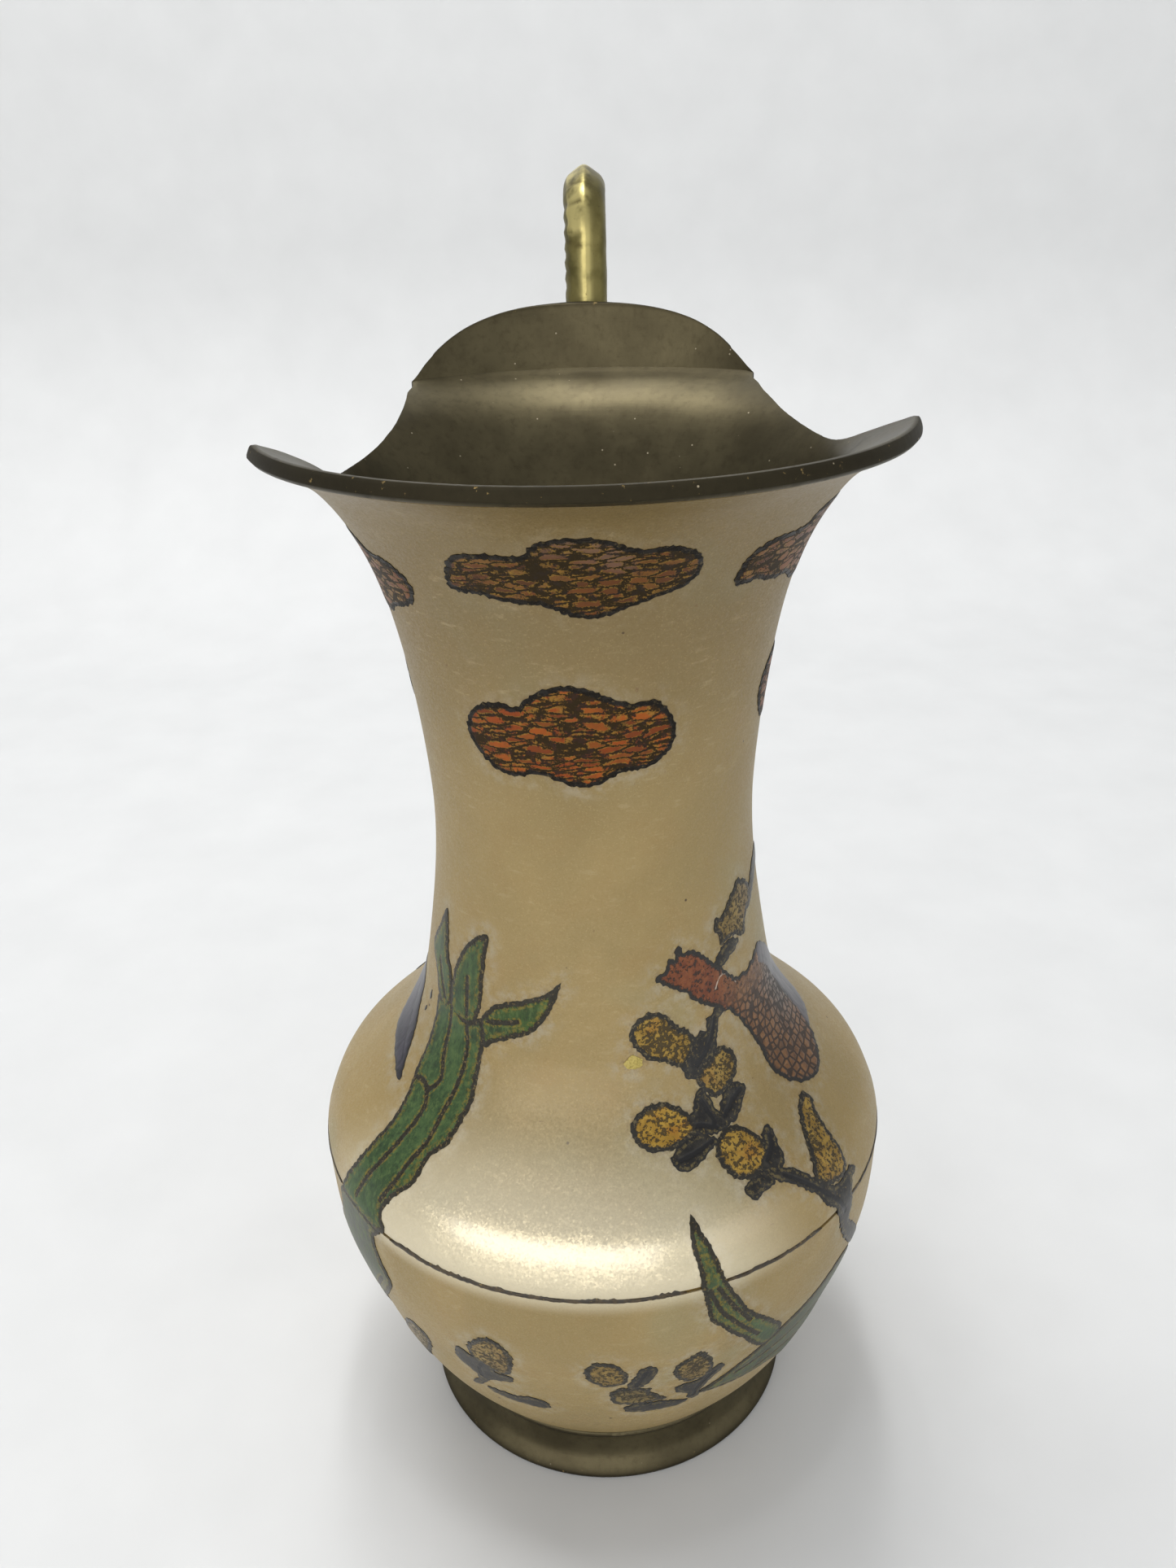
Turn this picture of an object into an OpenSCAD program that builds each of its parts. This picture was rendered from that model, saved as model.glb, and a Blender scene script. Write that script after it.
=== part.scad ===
// Cast brass pitcher with a lacquered and inlaid body, a flared and hooded mouth and a loop handle.
// Millimetres. The origin is the centre of the foot's resting plane, +Z is up, and the handle
// stands on the +Y side, so the pitcher pours towards -Y.

/* [Body] */
// Largest radius, at the line around the belly
belly_r = 70; // [66:1:74]
// Height of the line around the belly
belly_z = 85; // [80:1:90]
// Radius of the narrowest part of the neck
neck_r = 36.5; // [34:0.5:39]
// Height of the narrowest part of the neck
neck_z = 171.5; // [168:0.5:175]
// Thickness of the brass wall of the body
wall = 1.8; // [1.4:0.1:2.2]
// Thickness of the lacquer coat and of the inlays in it
coat = 0.5; // [0.4:0.05:0.6]

/* [Foot] */
// Radius of the foot where it rests
foot_r = 48; // [46:0.5:50]
// Radius of the foot where it meets the bowl
foot_waist_r = 43.8; // [43:0.1:44.5]
// Height of the foot
foot_h = 12; // [11:0.5:13]

/* [Mouth] */
// Radius of the rim
rim_r = 67.5; // [65:0.5:70]
// Height of the underside of the rim
rim_z = 253; // [251:0.5:255]
// Thickness of the metal at the rim
rim_t = 3.2; // [2.6:0.1:3.6]
// Height of the top of the hood
hood_top_z = 272; // [270:0.5:274]
// How far the hood leans out from its crease to its top
hood_lean = 2.8; // [2:0.2:3.6]

/* [Handle] */
// Width of the handle bar
bar_w = 10.5; // [9:0.5:12]
// Height of the ridge that runs along the outside of the bar
bar_ridge = 5; // [4:0.5:6]
// Radius of the bend over the top
top_bend_r = 13; // [12:0.5:14]
// Height of the centre of that bend
top_bend_z = 284; // [283:0.5:285]
// Turn of the handle off the middle of the hood, in degrees
handle_turn = -1.4; // [-3:0.2:3]

/* [Hidden] */
$fn = 96;

brass = "DarkGoldenrod";
patina = "DarkOliveGreen";
cream = "Wheat";
reach = 90;

// ---- Curves ------------------------------------------------------------------------------

function spline_point(a, b, c, d, t) =
    0.5 * (2 * b + (c - a) * t + (2 * a - 5 * b + 4 * c - d) * t * t
           + (3 * b - a - 3 * c + d) * t * t * t);

// A smooth line through open points, with n steps between each two
function smooth(p, n) = [
    for (i = [0 : len(p) - 2]) for (k = [0 : n - 1])
        spline_point(p[max(i - 1, 0)], p[i], p[i + 1], p[min(i + 2, len(p) - 1)], k / n),
    p[len(p) - 1]
];

// The same for points that close on themselves
function smooth_loop(p, n) = let (m = len(p)) [
    for (i = [0 : m - 1]) for (k = [0 : n - 1])
        spline_point(p[(i + m - 1) % m], p[i], p[(i + 1) % m], p[(i + 2) % m], k / n)
];

function part(p, from, to) = [for (i = [from : to]) p[i]];
function reversed(p) = [for (i = [len(p) - 1 : -1 : 0]) p[i]];
function along(p, i) = let (d = p[min(i + 1, len(p) - 1)] - p[max(i - 1, 0)]) d / norm(d);

// The points moved in towards the axis by depth[i], square to the curve
function inset(p, depth) = [
    for (i = [0 : len(p) - 1]) let (t = along(p, i)) p[i] + depth[i] * [-t.y, t.x]
];
function even(p, d) = [for (i = p) d];

// ---- Outline of the body, from the foot to the underside of the rim -----------------------

// Shares of belly_r and belly_z
bowl_shares = [[0.69, 0.206], [0.787, 0.33], [0.856, 0.453], [0.907, 0.576], [0.956, 0.7],
               [0.989, 0.824], [1, 1]];
// Shares of the way from the neck out to the belly, and from the belly up to the neck
shoulder_shares = [[0.975, 0.046], [0.863, 0.134], [0.607, 0.231], [0.363, 0.328],
                   [0.211, 0.425], [0.14, 0.52], [0.033, 0.798], [0, 1]];
// Shares of the way from the neck out to the rim, and from the neck up to it
flare_shares = [[0.035, 0.215], [0.109, 0.43], [0.2, 0.6], [0.312, 0.73], [0.453, 0.833],
                [0.627, 0.919], [0.807, 0.968], [1, 1]];

steps = 2;
bowl_line = smooth(concat(
    [[foot_waist_r, foot_h]],
    [for (s = bowl_shares) [s.x * belly_r, s.y * belly_z]]), steps);
upper_line = smooth(concat(
    [[belly_r, belly_z]],
    [for (s = shoulder_shares) [neck_r + s.x * (belly_r - neck_r),
                                belly_z + s.y * (neck_z - belly_z)]],
    [for (s = flare_shares) [neck_r + s.x * (rim_r - neck_r),
                             neck_z + s.y * (rim_z - neck_z)]]), steps);
belly_i = len(bowl_line) - 1;
neck_i = belly_i + steps * len(shoulder_shares);
skin = concat(bowl_line, part(upper_line, 1, len(upper_line) - 1));
rim_i = len(skin) - 1;
coat_end_i = rim_i - 1;

core = inset(skin, even(skin, coat));
// The wall thickens from the neck up to the rim
lining = inset(skin, [
    for (i = [0 : rim_i])
        i <= neck_i ? coat + wall : coat + wall + (rim_t - coat - wall) * (i - neck_i) / (rim_i - neck_i)
]);

heights = [for (p = skin) [p.y, p.x]];
function radius_at(z) = lookup(z, heights);

// ---- Brass pieces --------------------------------------------------------------------------

floor_z = 9;
floor_r = 39;
foot_wall = 2.8;

module bowl_section() {
    polygon(concat(
        [[0, floor_z], [floor_r, floor_z]], part(core, 0, belly_i),
        reversed(part(lining, 0, belly_i)),
        [[floor_r - 0.5, floor_z + wall], [0, floor_z + wall]]));
}

module foot_ring() {
    outside = concat([[foot_r, 0]], smooth([[foot_r, 1.6], [45.6, 5], [44.3, 9],
                                           [foot_waist_r, foot_h]], 3));
    inside = [for (p = reversed(outside)) [p.x - foot_wall, p.y]];
    color(patina) difference() {
        rotate_extrude() polygon(concat(outside, inside));
        rotate_extrude() polygon(concat(
            [[0, floor_z], [floor_r, floor_z]], part(core, 0, 1), [[0, core[1].y]]));
    }
}

// A bead of brazing metal where two pieces meet, less the pieces themselves
module bead(at, r) {
    rotate_extrude() translate(at) circle(r = r, $fn = 24);
}

module foot_braze() {
    color(brass) difference() {
        bead([foot_waist_r + 0.1, foot_h - 0.2], 1.1);
        rotate_extrude() union() {
            polygon(concat([[0, 0], [foot_waist_r, 0], [foot_waist_r, foot_h - 0.6]],
                           part(skin, 0, 2), [[0, skin[2].y]]));
        }
        foot_ring();
    }
}

module bowl() {
    color(brass) rotate_extrude() bowl_section();
}

module belly_braze() {
    color(brass) difference() {
        bead(lining[belly_i], 1.3);
        rotate_extrude() polygon(concat(
            part(lining, belly_i - 2, belly_i + 3), [[reach, lining[belly_i + 3].y],
            [reach, lining[belly_i - 2].y]]));
    }
}

module shoulder_and_neck() {
    color(brass) rotate_extrude() polygon(concat(
        part(core, belly_i, neck_i), reversed(part(lining, belly_i, neck_i))));
}

module neck_braze() {
    color(brass) difference() {
        bead(lining[neck_i], 1.1);
        rotate_extrude() polygon(concat(
            part(lining, neck_i - 2, neck_i + 2), [[reach, lining[neck_i + 2].y],
            [reach, lining[neck_i - 2].y]]));
    }
}

// The mouth's edge seen from the side, as [y, z]: a scoop between the rim and the hood
right_edge = [[-13.5, 256.6], [-9.5, 254.3], [-4.5, 252], [2.5, 249.3], [10, 248.1], [20, 248.5],
              [30, 250.1], [38.5, 252.3], [46, 254.4], [51, 256], [55.3, 260.5], [59, 264.8],
              [63, 268.4], [68, 271.2], [73, hood_top_z]];
left_edge = [[-23.5, 256.6], [-18.5, 254.3], [-15, 252.2], [-10, 249.6], [-4, 246.3], [3, 245.3],
             [14, 245.3], [23, 246.4], [31, 248.6], [38, 251.2], [46, 254.2], [51.5, 256],
             [55.6, 260.5], [59.5, 264.8], [63.5, 268.4], [68, 271.2], [73, hood_top_z]];

// Everything above the edge on one side, side being 1 for +X and -1 for -X
module above_edge(edge, side) {
    line = smooth(edge, 3);
    rotate([90, 0, 90]) translate([0, 0, side > 0 ? 0 : -reach])
        linear_extrude(height = reach)
            polygon(concat(line, [[reach, hood_top_z], [reach, 300], [line[0].x, 300]]));
}

crease_r = rim_r - 1.2;
rim_top_z = rim_z + rim_t;

hood_outside = [[crease_r + hood_lean + rim_t, hood_top_z], [rim_r + 2, rim_top_z],
                [rim_r, rim_z]];

// The hood is the back of the mouth casting, raised from the rim
module hood(inside) {
    intersection() {
        rotate_extrude() polygon(concat(inside, hood_outside));
        translate([-reach, 50, rim_z - 5]) cube([2 * reach, reach, 40]);
    }
}

module mouth_casting() {
    under = part(core, neck_i, coat_end_i);
    over = reversed(part(lining, neck_i, rim_i - 1));
    rotate_extrude() polygon(concat(
        under, part(skin, coat_end_i, rim_i),
        [[rim_r, rim_top_z], [crease_r, rim_top_z]], over));
    hood([[crease_r - 2, rim_z + 0.6], [crease_r, rim_top_z], [crease_r + hood_lean, hood_top_z]]);
}

module hood_filled() {
    hood([[0, rim_z], [0, hood_top_z]]);
}

module mouth() {
    color(patina) difference() {
        mouth_casting();
        above_edge(right_edge, 1);
        above_edge(left_edge, -1);
    }
}

// ---- Handle: arcs and straights in the YZ plane, each tangent to the next ------------------

front_y = 76;
root_r = 14;
root_y = 50;
root_c = [front_y - root_r, 257];
sweep_r = 110;
turn_a = 20;
lower_a = -50;
tail_r = 40;
top_c = [front_y + top_bend_r, top_bend_z];
sweep_c = top_c - (sweep_r - top_bend_r) * [cos(turn_a), sin(turn_a)];
tail_c = sweep_c + (sweep_r + tail_r) * [cos(lower_a), sin(lower_a)];
tail_end = tail_c - [tail_r, 0];
landing_z = 99;

// Half of the cross-section: x is square to the path, towards the ridge, and y is across the bar
half_bar = bar_w / 2;
half_section = [[-3.5, half_bar - 1.5], [-1.5, half_bar], [0.6, half_bar], [2.4, half_bar - 1],
                [bar_ridge, 0.6]];
bar_section = concat(half_section, [for (p = reversed(half_section)) [p.x, -p.y]]);

// Stations round an arc, as [[y, z], heading]; the ridge is always to the left of the heading
function arc_stations(centre, r, from, to, n, first) = [
    for (i = [first : n]) let (a = from + (to - from) * i / n)
        [centre + r * [cos(a), sin(a)], a + (to > from ? 90 : -90)]
];

bar_path = concat(
    [[[root_y, root_c.y - root_r], 0]],
    arc_stations(root_c, root_r, -90, 0, 8, 0),
    arc_stations(top_c, top_bend_r, 180, turn_a, 16, 0),
    arc_stations(sweep_c, sweep_r, turn_a, lower_a, 16, 1),
    arc_stations(tail_c, tail_r, 180 + lower_a, 180, 8, 1),
    [[[tail_end.x, landing_z], 270]]);

// One bar from the flare over the top and down to the shoulder
module handle_bar() {
    sides = len(bar_section);
    ends = len(bar_path) - 1;
    rotate([0, 0, handle_turn]) polyhedron(
        points = [
            for (s = bar_path) for (q = bar_section)
                [q.y, s[0].x - q.x * sin(s[1]), s[0].y + q.x * cos(s[1])]
        ],
        faces = concat(
            [[for (k = [sides - 1 : -1 : 0]) k]],
            [for (i = [0 : ends - 1]) for (k = [0 : sides - 1])
                [i * sides + k, i * sides + (k + 1) % sides, (i + 1) * sides + k]],
            [for (i = [0 : ends - 1]) for (k = [0 : sides - 1])
                [i * sides + (k + 1) % sides, (i + 1) * sides + (k + 1) % sides,
                 (i + 1) * sides + k]],
            [[for (k = [0 : sides - 1]) ends * sides + k]]));
}

// The brass body filled to its axis, and the flare and hood filled the same way
module filled_body() {
    rotate_extrude() polygon(concat(
        part(core, 0, coat_end_i), [[0, core[coat_end_i].y], [0, core[0].y]]));
}

module handle() {
    color("Goldenrod") difference() {
        handle_bar();
        filled_body();
        mouth_casting();
    }
}

// Fillets of brazing metal: on the shoulder, under the flare and between the hood and the bar
module braze_lumps() {
    rotate([0, 0, handle_turn]) {
        translate([0, tail_end.x, 98]) cylinder(h = 13, r1 = 9.5, r2 = 5, $fn = 48);
        translate([0, root_y - 4, root_c.y - root_r]) rotate([-90, 0, 0])
            cylinder(h = 11, r1 = 9, r2 = 5, $fn = 48);
        translate([0, front_y - 3, 259]) cylinder(h = 11, r1 = 4.4, r2 = 5.4, $fn = 48);
    }
}

module handle_brazes() {
    color(brass) difference() {
        braze_lumps();
        handle_bar();
        filled_body();
        hood_filled();
    }
}

// ---- Outlines of the inlays, as [azimuth in degrees, height] ---------------------------------
// Azimuth 0 is +X and -90 is the pouring side.

upper_cloud = [[-28, -4.5], [-27.5, 0], [-24, 3], [-12, 4.5], [-9, 4.5], [-5, 7.5], [2, 8.5], [9, 7.5],
               [14, 5.5], [21, 5.5], [27, 3.5], [29, 0], [26, -3], [19, -5.5], [14, -6.5], [9, -8.5],
               [2, -9], [-5, -7], [-17, -5.5]];
lower_cloud = [[-32, -1], [-30, 3.5], [-24, 6], [-14, 6.5], [-8, 9.5], [-3, 11.5], [4, 11.5], [12, 9.5],
               [18, 7.5], [25, 7.5], [29, 5], [32, 0], [29, -5], [23, -7.5], [15, -8.5], [9, -10],
               [2, -11], [-5, -10], [-10, -8.5], [-18, -9.5], [-25, -8], [-29, -5]];
upper_cloud_at = [[-94, 236], [-25, 234.5], [-166, 229.5], [44, 235], [117, 234]];
lower_cloud_at = [[-97, 201], [6.5, 202], [-203, 203], [82, 199]];

reed = [[-151.5, 86], [-150.5, 90], [-148, 96], [-146.5, 104], [-150.5, 113], [-153, 124],
        [-153, 130], [-163, 139], [-157, 146], [-152, 150.5], [-149.5, 143], [-145.5, 137],
        [-140, 145], [-135, 149], [-129, 150.5], [-130, 134], [-122, 136.5], [-107, 141],
        [-102.5, 143.5], [-107, 135], [-113, 130.5], [-127.5, 124.5], [-126.5, 113.5],
        [-128, 106], [-131, 102], [-134, 95.5], [-137.5, 89], [-137.5, 84], [-139.5, 78],
        [-136.5, 69], [-143, 57], [-155, 40], [-163, 38], [-163, 50], [-161, 66], [-154, 78]];
low_reed = [[-73.5, 99], [-74, 92], [-73, 84], [-71, 75], [-66, 64], [-60, 54], [-70, 43],
            [-58, 41.5], [-46, 39], [-38, 27], [-28, 20], [-22.5, 33], [-24, 50], [-29, 62],
            [-36, 65.5], [-45, 61], [-53, 58], [-57, 65], [-65, 75], [-68, 84], [-70, 90]];
violet_leaf = [[-153, 108.5], [-159, 114], [-165, 119], [-172, 126], [-179, 127], [-180, 119],
               [-173, 112], [-163, 109.5]];
wing = [[-27, 137], [-19, 137], [-9, 132], [-1, 125], [4, 116], [-1, 113], [-9, 121], [-16, 128],
        [-23, 131.5], [-29, 132.5]];
bird = [[-71.5, 143.5], [-67, 146.5], [-63, 149], [-57, 147], [-50, 142.5], [-42, 137.5], [-33, 134],
        [-22, 130], [-15, 126], [-8, 119], [-6, 112], [-14, 107.5], [-24, 106], [-31, 107.5],
        [-35.5, 111], [-37, 119], [-42, 127.5], [-50, 132], [-59, 137], [-66, 140]];

// Buds: [azimuth, height, half length, half width, tilt], the last three in mm, mm and degrees
shoulder_buds = [[-71.5, 129, 9.5, 6, -25], [-54.5, 119, 6.8, 4.2, 5], [-74.5, 112.8, 9.2, 4.4, -5],
                 [-57, 105.5, 7, 4.2, 0], [-39, 98.5, 10, 4, 60], [-36, 151.5, 8.5, 5, 25]];
bowl_buds = [[-114.3, 61.5, 7.5, 5.2, 80], [-90.7, 59.6, 6.3, 4.3, 95], [-73.5, 57.5, 7.3, 4.2, 95],
             [-85.5, 48.5, 5.2, 4.2, 60], [-141, 41, 14, 7, 60]];

// Stems and dark leaflets: a start, an end and the width at each, as [[az, z], [az, z], w, w]
stems = [[[-66, 126], [-56, 112], 5, 8], [[-57, 112], [-49, 130.5], 6, 3.5],
         [[-64, 111], [-73, 106.5], 5, 2], [[-58, 113.5], [-49, 113.5], 5, 2],
         [[-52, 101.5], [-36, 86], 2.4, 3.4], [[-36, 86], [-18, 54], 3.4, 3],
         [[-51, 103], [-48, 106.5], 3, 3], [[-55, 100.5], [-61, 99.5], 2.6, 1.4],
         [[-38, 90.5], [-32.5, 90.5], 3, 2], [[-50, 138], [-37, 145], 2, 2.4],
         [[-30, 152], [-6, 157], 3, 3.4],
         [[-120.5, 56], [-115, 49.5], 4.5, 5], [[-83.3, 61], [-85, 52], 3.2, 3.4],
         [[-69, 54], [-73, 44], 4, 3.4], [[-112, 42.5], [-104, 41], 2.4, 2.4],
         [[-88, 42], [-76, 40.5], 2.4, 2.8]];

// The same motifs again on the handle side, turned by these angles
back_turn_reed = 198;
back_turn_spray = 200;

// Local coordinates in the plane that faces azimuth a0
function flat(a0, p) = [for (q = p) [radius_at(q.y) * sin(q.x - a0), q.y]];

module facing(a0) {
    rotate([0, 0, a0]) rotate([90, 0, 90]) linear_extrude(height = reach) children();
}

module outline(points) {
    a0 = (min([for (p = points) p.x]) + max([for (p = points) p.x])) / 2;
    facing(a0) polygon(flat(a0, points));
}

module cloud(shape, at) {
    facing(at.x) polygon(flat(at.x, [for (p = shape) [at.x + p.x, at.y + p.y]]));
}

module bud(b) {
    facing(b[0]) translate([0, b[1]]) rotate(b[4])
        polygon([for (a = [0 : 22.5 : 359]) [b[2] * cos(a), b[3] * sin(a)]]);
}

module stem(s) {
    a0 = (s[0].x + s[1].x) / 2;
    ends = flat(a0, [s[0], s[1]]);
    d = (ends[1] - ends[0]) / norm(ends[1] - ends[0]);
    side = [-d.y, d.x] / 2;
    facing(a0) polygon([
        ends[0] + s[2] * side, ends[1] + s[3] * side,
        ends[1] + s[3] * d / 3, ends[1] - s[3] * side,
        ends[0] - s[2] * side, ends[0] - s[2] * d / 3]);
}

module cloud_cuts() {
    for (at = upper_cloud_at) cloud(upper_cloud, at);
    for (at = lower_cloud_at) cloud(lower_cloud, at);
}

module reed_cuts() {
    outline(reed);
    outline(low_reed);
    rotate([0, 0, back_turn_reed]) outline(reed);
}

module violet_cuts() {
    outline(violet_leaf);
    outline(wing);
}

module bud_cuts() {
    for (b = shoulder_buds) bud(b);
    for (b = bowl_buds) bud(b);
    rotate([0, 0, back_turn_spray]) for (i = [0 : 3]) bud(shoulder_buds[i]);
}

module bird_cuts() {
    outline(bird);
}

module stem_cuts() {
    for (s = stems) stem(s);
    rotate([0, 0, back_turn_spray]) for (i = [0 : 3]) stem(stems[i]);
}

// ---- Lacquer and inlays: all lie in one coat of even thickness -------------------------------

line_w = 1.5;

module coat_layer(from_i, to_i) {
    rotate_extrude() polygon(concat(part(skin, from_i, to_i), reversed(part(core, from_i, to_i))));
}

module whole_coat() {
    coat_layer(0, coat_end_i);
}

module mouth_scoops() {
    above_edge(right_edge, 1);
    above_edge(left_edge, -1);
}

module slab(from_z, to_z) {
    translate([0, 0, from_z]) cylinder(h = to_z - from_z, r = reach);
}

module bowl_lacquer() {
    color(cream) difference() {
        coat_layer(0, belly_i);
        slab(belly_z - line_w / 2, belly_z + 10);
        reed_cuts();
        bud_cuts();
        stem_cuts();
    }
}

module upper_lacquer() {
    color(cream) difference() {
        coat_layer(belly_i, coat_end_i);
        slab(belly_z - 10, belly_z + line_w / 2);
        mouth_scoops();
        cloud_cuts();
        reed_cuts();
        violet_cuts();
        bud_cuts();
        bird_cuts();
        stem_cuts();
        handle_bar();
        braze_lumps();
    }
}

module belly_line() {
    color("Black") difference() {
        intersection() {
            coat_layer(belly_i - 2, belly_i + 2);
            slab(belly_z - line_w / 2, belly_z + line_w / 2);
        }
        reed_cuts();
        stem_cuts();
    }
}

module cloud_inlays() {
    color("SaddleBrown") difference() {
        intersection() {
            whole_coat();
            cloud_cuts();
        }
        mouth_scoops();
        handle_bar();
    }
}

module reed_inlays() {
    color("ForestGreen") difference() {
        intersection() {
            whole_coat();
            reed_cuts();
        }
        bud_cuts();
        bird_cuts();
    }
}

module violet_inlays() {
    color("DarkSlateBlue") difference() {
        intersection() {
            whole_coat();
            violet_cuts();
        }
        reed_cuts();
        bird_cuts();
    }
}

module bud_inlays() {
    color("Peru") intersection() {
        whole_coat();
        bud_cuts();
    }
}

module bird_inlay() {
    color("IndianRed") difference() {
        intersection() {
            whole_coat();
            bird_cuts();
        }
        bud_cuts();
    }
}

module stem_inlays() {
    color("DimGray") difference() {
        intersection() {
            whole_coat();
            stem_cuts();
        }
        bud_cuts();
        bird_cuts();
        reed_cuts();
        violet_cuts();
    }
}

foot_ring();
foot_braze();
bowl();
belly_braze();
shoulder_and_neck();
neck_braze();
mouth();
handle();
handle_brazes();
bowl_lacquer();
upper_lacquer();
belly_line();
cloud_inlays();
reed_inlays();
violet_inlays();
bud_inlays();
bird_inlay();
stem_inlays();
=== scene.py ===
import math

import bmesh
import bpy
import numpy as np
from mathutils import Matrix, Vector, geometry, kdtree, noise


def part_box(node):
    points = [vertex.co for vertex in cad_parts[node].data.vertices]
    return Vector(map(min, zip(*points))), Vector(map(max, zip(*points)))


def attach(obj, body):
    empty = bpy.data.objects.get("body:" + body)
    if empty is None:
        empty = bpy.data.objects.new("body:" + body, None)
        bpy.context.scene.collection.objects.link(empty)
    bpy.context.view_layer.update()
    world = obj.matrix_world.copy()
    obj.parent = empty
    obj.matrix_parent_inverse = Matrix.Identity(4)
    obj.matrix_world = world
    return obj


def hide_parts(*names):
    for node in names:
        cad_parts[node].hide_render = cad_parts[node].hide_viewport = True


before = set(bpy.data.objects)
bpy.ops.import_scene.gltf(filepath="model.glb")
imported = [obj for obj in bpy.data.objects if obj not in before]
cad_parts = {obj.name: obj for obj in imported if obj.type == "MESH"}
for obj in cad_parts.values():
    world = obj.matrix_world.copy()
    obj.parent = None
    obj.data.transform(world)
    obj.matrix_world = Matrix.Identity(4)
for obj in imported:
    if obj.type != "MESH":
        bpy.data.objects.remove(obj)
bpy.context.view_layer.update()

# A cast brass pitcher under cream pearl lacquer, with engraved and coloured inlays.
# Lengths below are in millimetres and azimuths in degrees, until a mesh is made in metres.

MM = 0.001


def node_box(name):
    low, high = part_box(name)
    return np.array(low) / MM, np.array(high) / MM


# ---- Measures taken from the frame ----------------------------------------------------------

BELLY_R = node_box("bowl_lacquer")[1][0]
FOOT_H = node_box("bowl_lacquer")[0][2]
LINE_LOW, LINE_HIGH = (node_box("belly_line")[k][2] for k in (0, 1))
BELLY_Z = (LINE_LOW + LINE_HIGH) / 2
FOOT_R = node_box("foot_ring")[1][0]
RIM_R = node_box("mouth")[1][0]
HOOD_TOP = node_box("mouth")[1][2]
HANDLE_TOP = node_box("handle")[1][2]

NECK_R, NECK_Z, RIM_Z, RIM_T = 36.5, 171.5, 253.0, 3.2
PLATE_RISE, PLATE_DEPTH, VEIN_DEPTH = 0.12, 0.4, 0.06
HOOD_BEVEL = 5.5
FOOT_WAIST_R = 43.8
COAT, WALL = 0.5, 1.8
HOOD_LEAN = 2.8
CREASE_R = RIM_R - 1.2
RIM_TOP = RIM_Z + RIM_T
HANDLE_TURN = math.radians(-1.4)


# ---- Outline of the body --------------------------------------------------------------------

BOWL = [(0.69, 0.206), (0.787, 0.33), (0.856, 0.453), (0.907, 0.576), (0.956, 0.7),
        (0.989, 0.824), (1, 1)]
SHOULDER = [(0.975, 0.046), (0.863, 0.134), (0.607, 0.231), (0.363, 0.328), (0.211, 0.425),
            (0.14, 0.52), (0.033, 0.798), (0, 1)]
FLARE = [(0.035, 0.215), (0.109, 0.43), (0.2, 0.6), (0.312, 0.73), (0.453, 0.833),
         (0.627, 0.919), (0.807, 0.968), (1, 1)]
STEPS = 10


def spline(points, n, closed=False):
    """A smooth line through the points, with n steps between each two."""
    p = np.array(points, float)
    m = len(p)
    rows = []
    for i in range(m if closed else m - 1):
        if closed:
            a, b, c, d = p[i - 1], p[i], p[(i + 1) % m], p[(i + 2) % m]
        else:
            a, b, c, d = p[max(i - 1, 0)], p[i], p[i + 1], p[min(i + 2, m - 1)]
        for k in range(n):
            t = k / n
            rows.append(0.5 * (2 * b + (c - a) * t + (2 * a - 5 * b + 4 * c - d) * t * t
                               + (3 * b - a - 3 * c + d) * t ** 3))
    if not closed:
        rows.append(p[-1])
    return np.array(rows)


bowl_line = spline([(FOOT_WAIST_R, FOOT_H)] + [(x * BELLY_R, z * BELLY_Z) for x, z in BOWL], STEPS)
upper_line = spline(
    [(BELLY_R, BELLY_Z)]
    + [(NECK_R + x * (BELLY_R - NECK_R), BELLY_Z + z * (NECK_Z - BELLY_Z)) for x, z in SHOULDER]
    + [(NECK_R + x * (RIM_R - NECK_R), NECK_Z + z * (RIM_Z - NECK_Z)) for x, z in FLARE], STEPS)
SKIN = np.vstack([bowl_line, upper_line[1:]])
NECK_I = len(bowl_line) - 1 + STEPS * len(SHOULDER)
RIM_I = len(SKIN) - 1
LENGTHS = np.concatenate([[0], np.cumsum(np.linalg.norm(np.diff(SKIN, axis=0), axis=1))])
TANGENTS = np.gradient(SKIN, axis=0)
TANGENTS /= np.linalg.norm(TANGENTS, axis=1)[:, None]
NORMALS = np.stack([TANGENTS[:, 1], -TANGENTS[:, 0]], 1)


def length_at(z):
    """How far along the outline the height z is."""
    return np.interp(z, SKIN[:, 1], LENGTHS)


def outline_at(s):
    """Radius, height and outward normal at a length along the outline."""
    return [np.interp(s, LENGTHS, column)
            for column in (SKIN[:, 0], SKIN[:, 1], NORMALS[:, 0], NORMALS[:, 1])]


def on_skin(az, s, lift=0.0):
    """Points on the body at azimuths in degrees and lengths along the outline, raised by lift."""
    r, z, nr, nz = outline_at(s)
    a = np.radians(az)
    radius = r + nr * lift
    return np.stack([radius * np.cos(a), radius * np.sin(a), z + nz * lift + 0 * a], -1)


def smoothstep(x):
    x = np.clip(x, 0, 1)
    return x * x * (3 - 2 * x)


# ---- Mesh helpers ---------------------------------------------------------------------------


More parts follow.
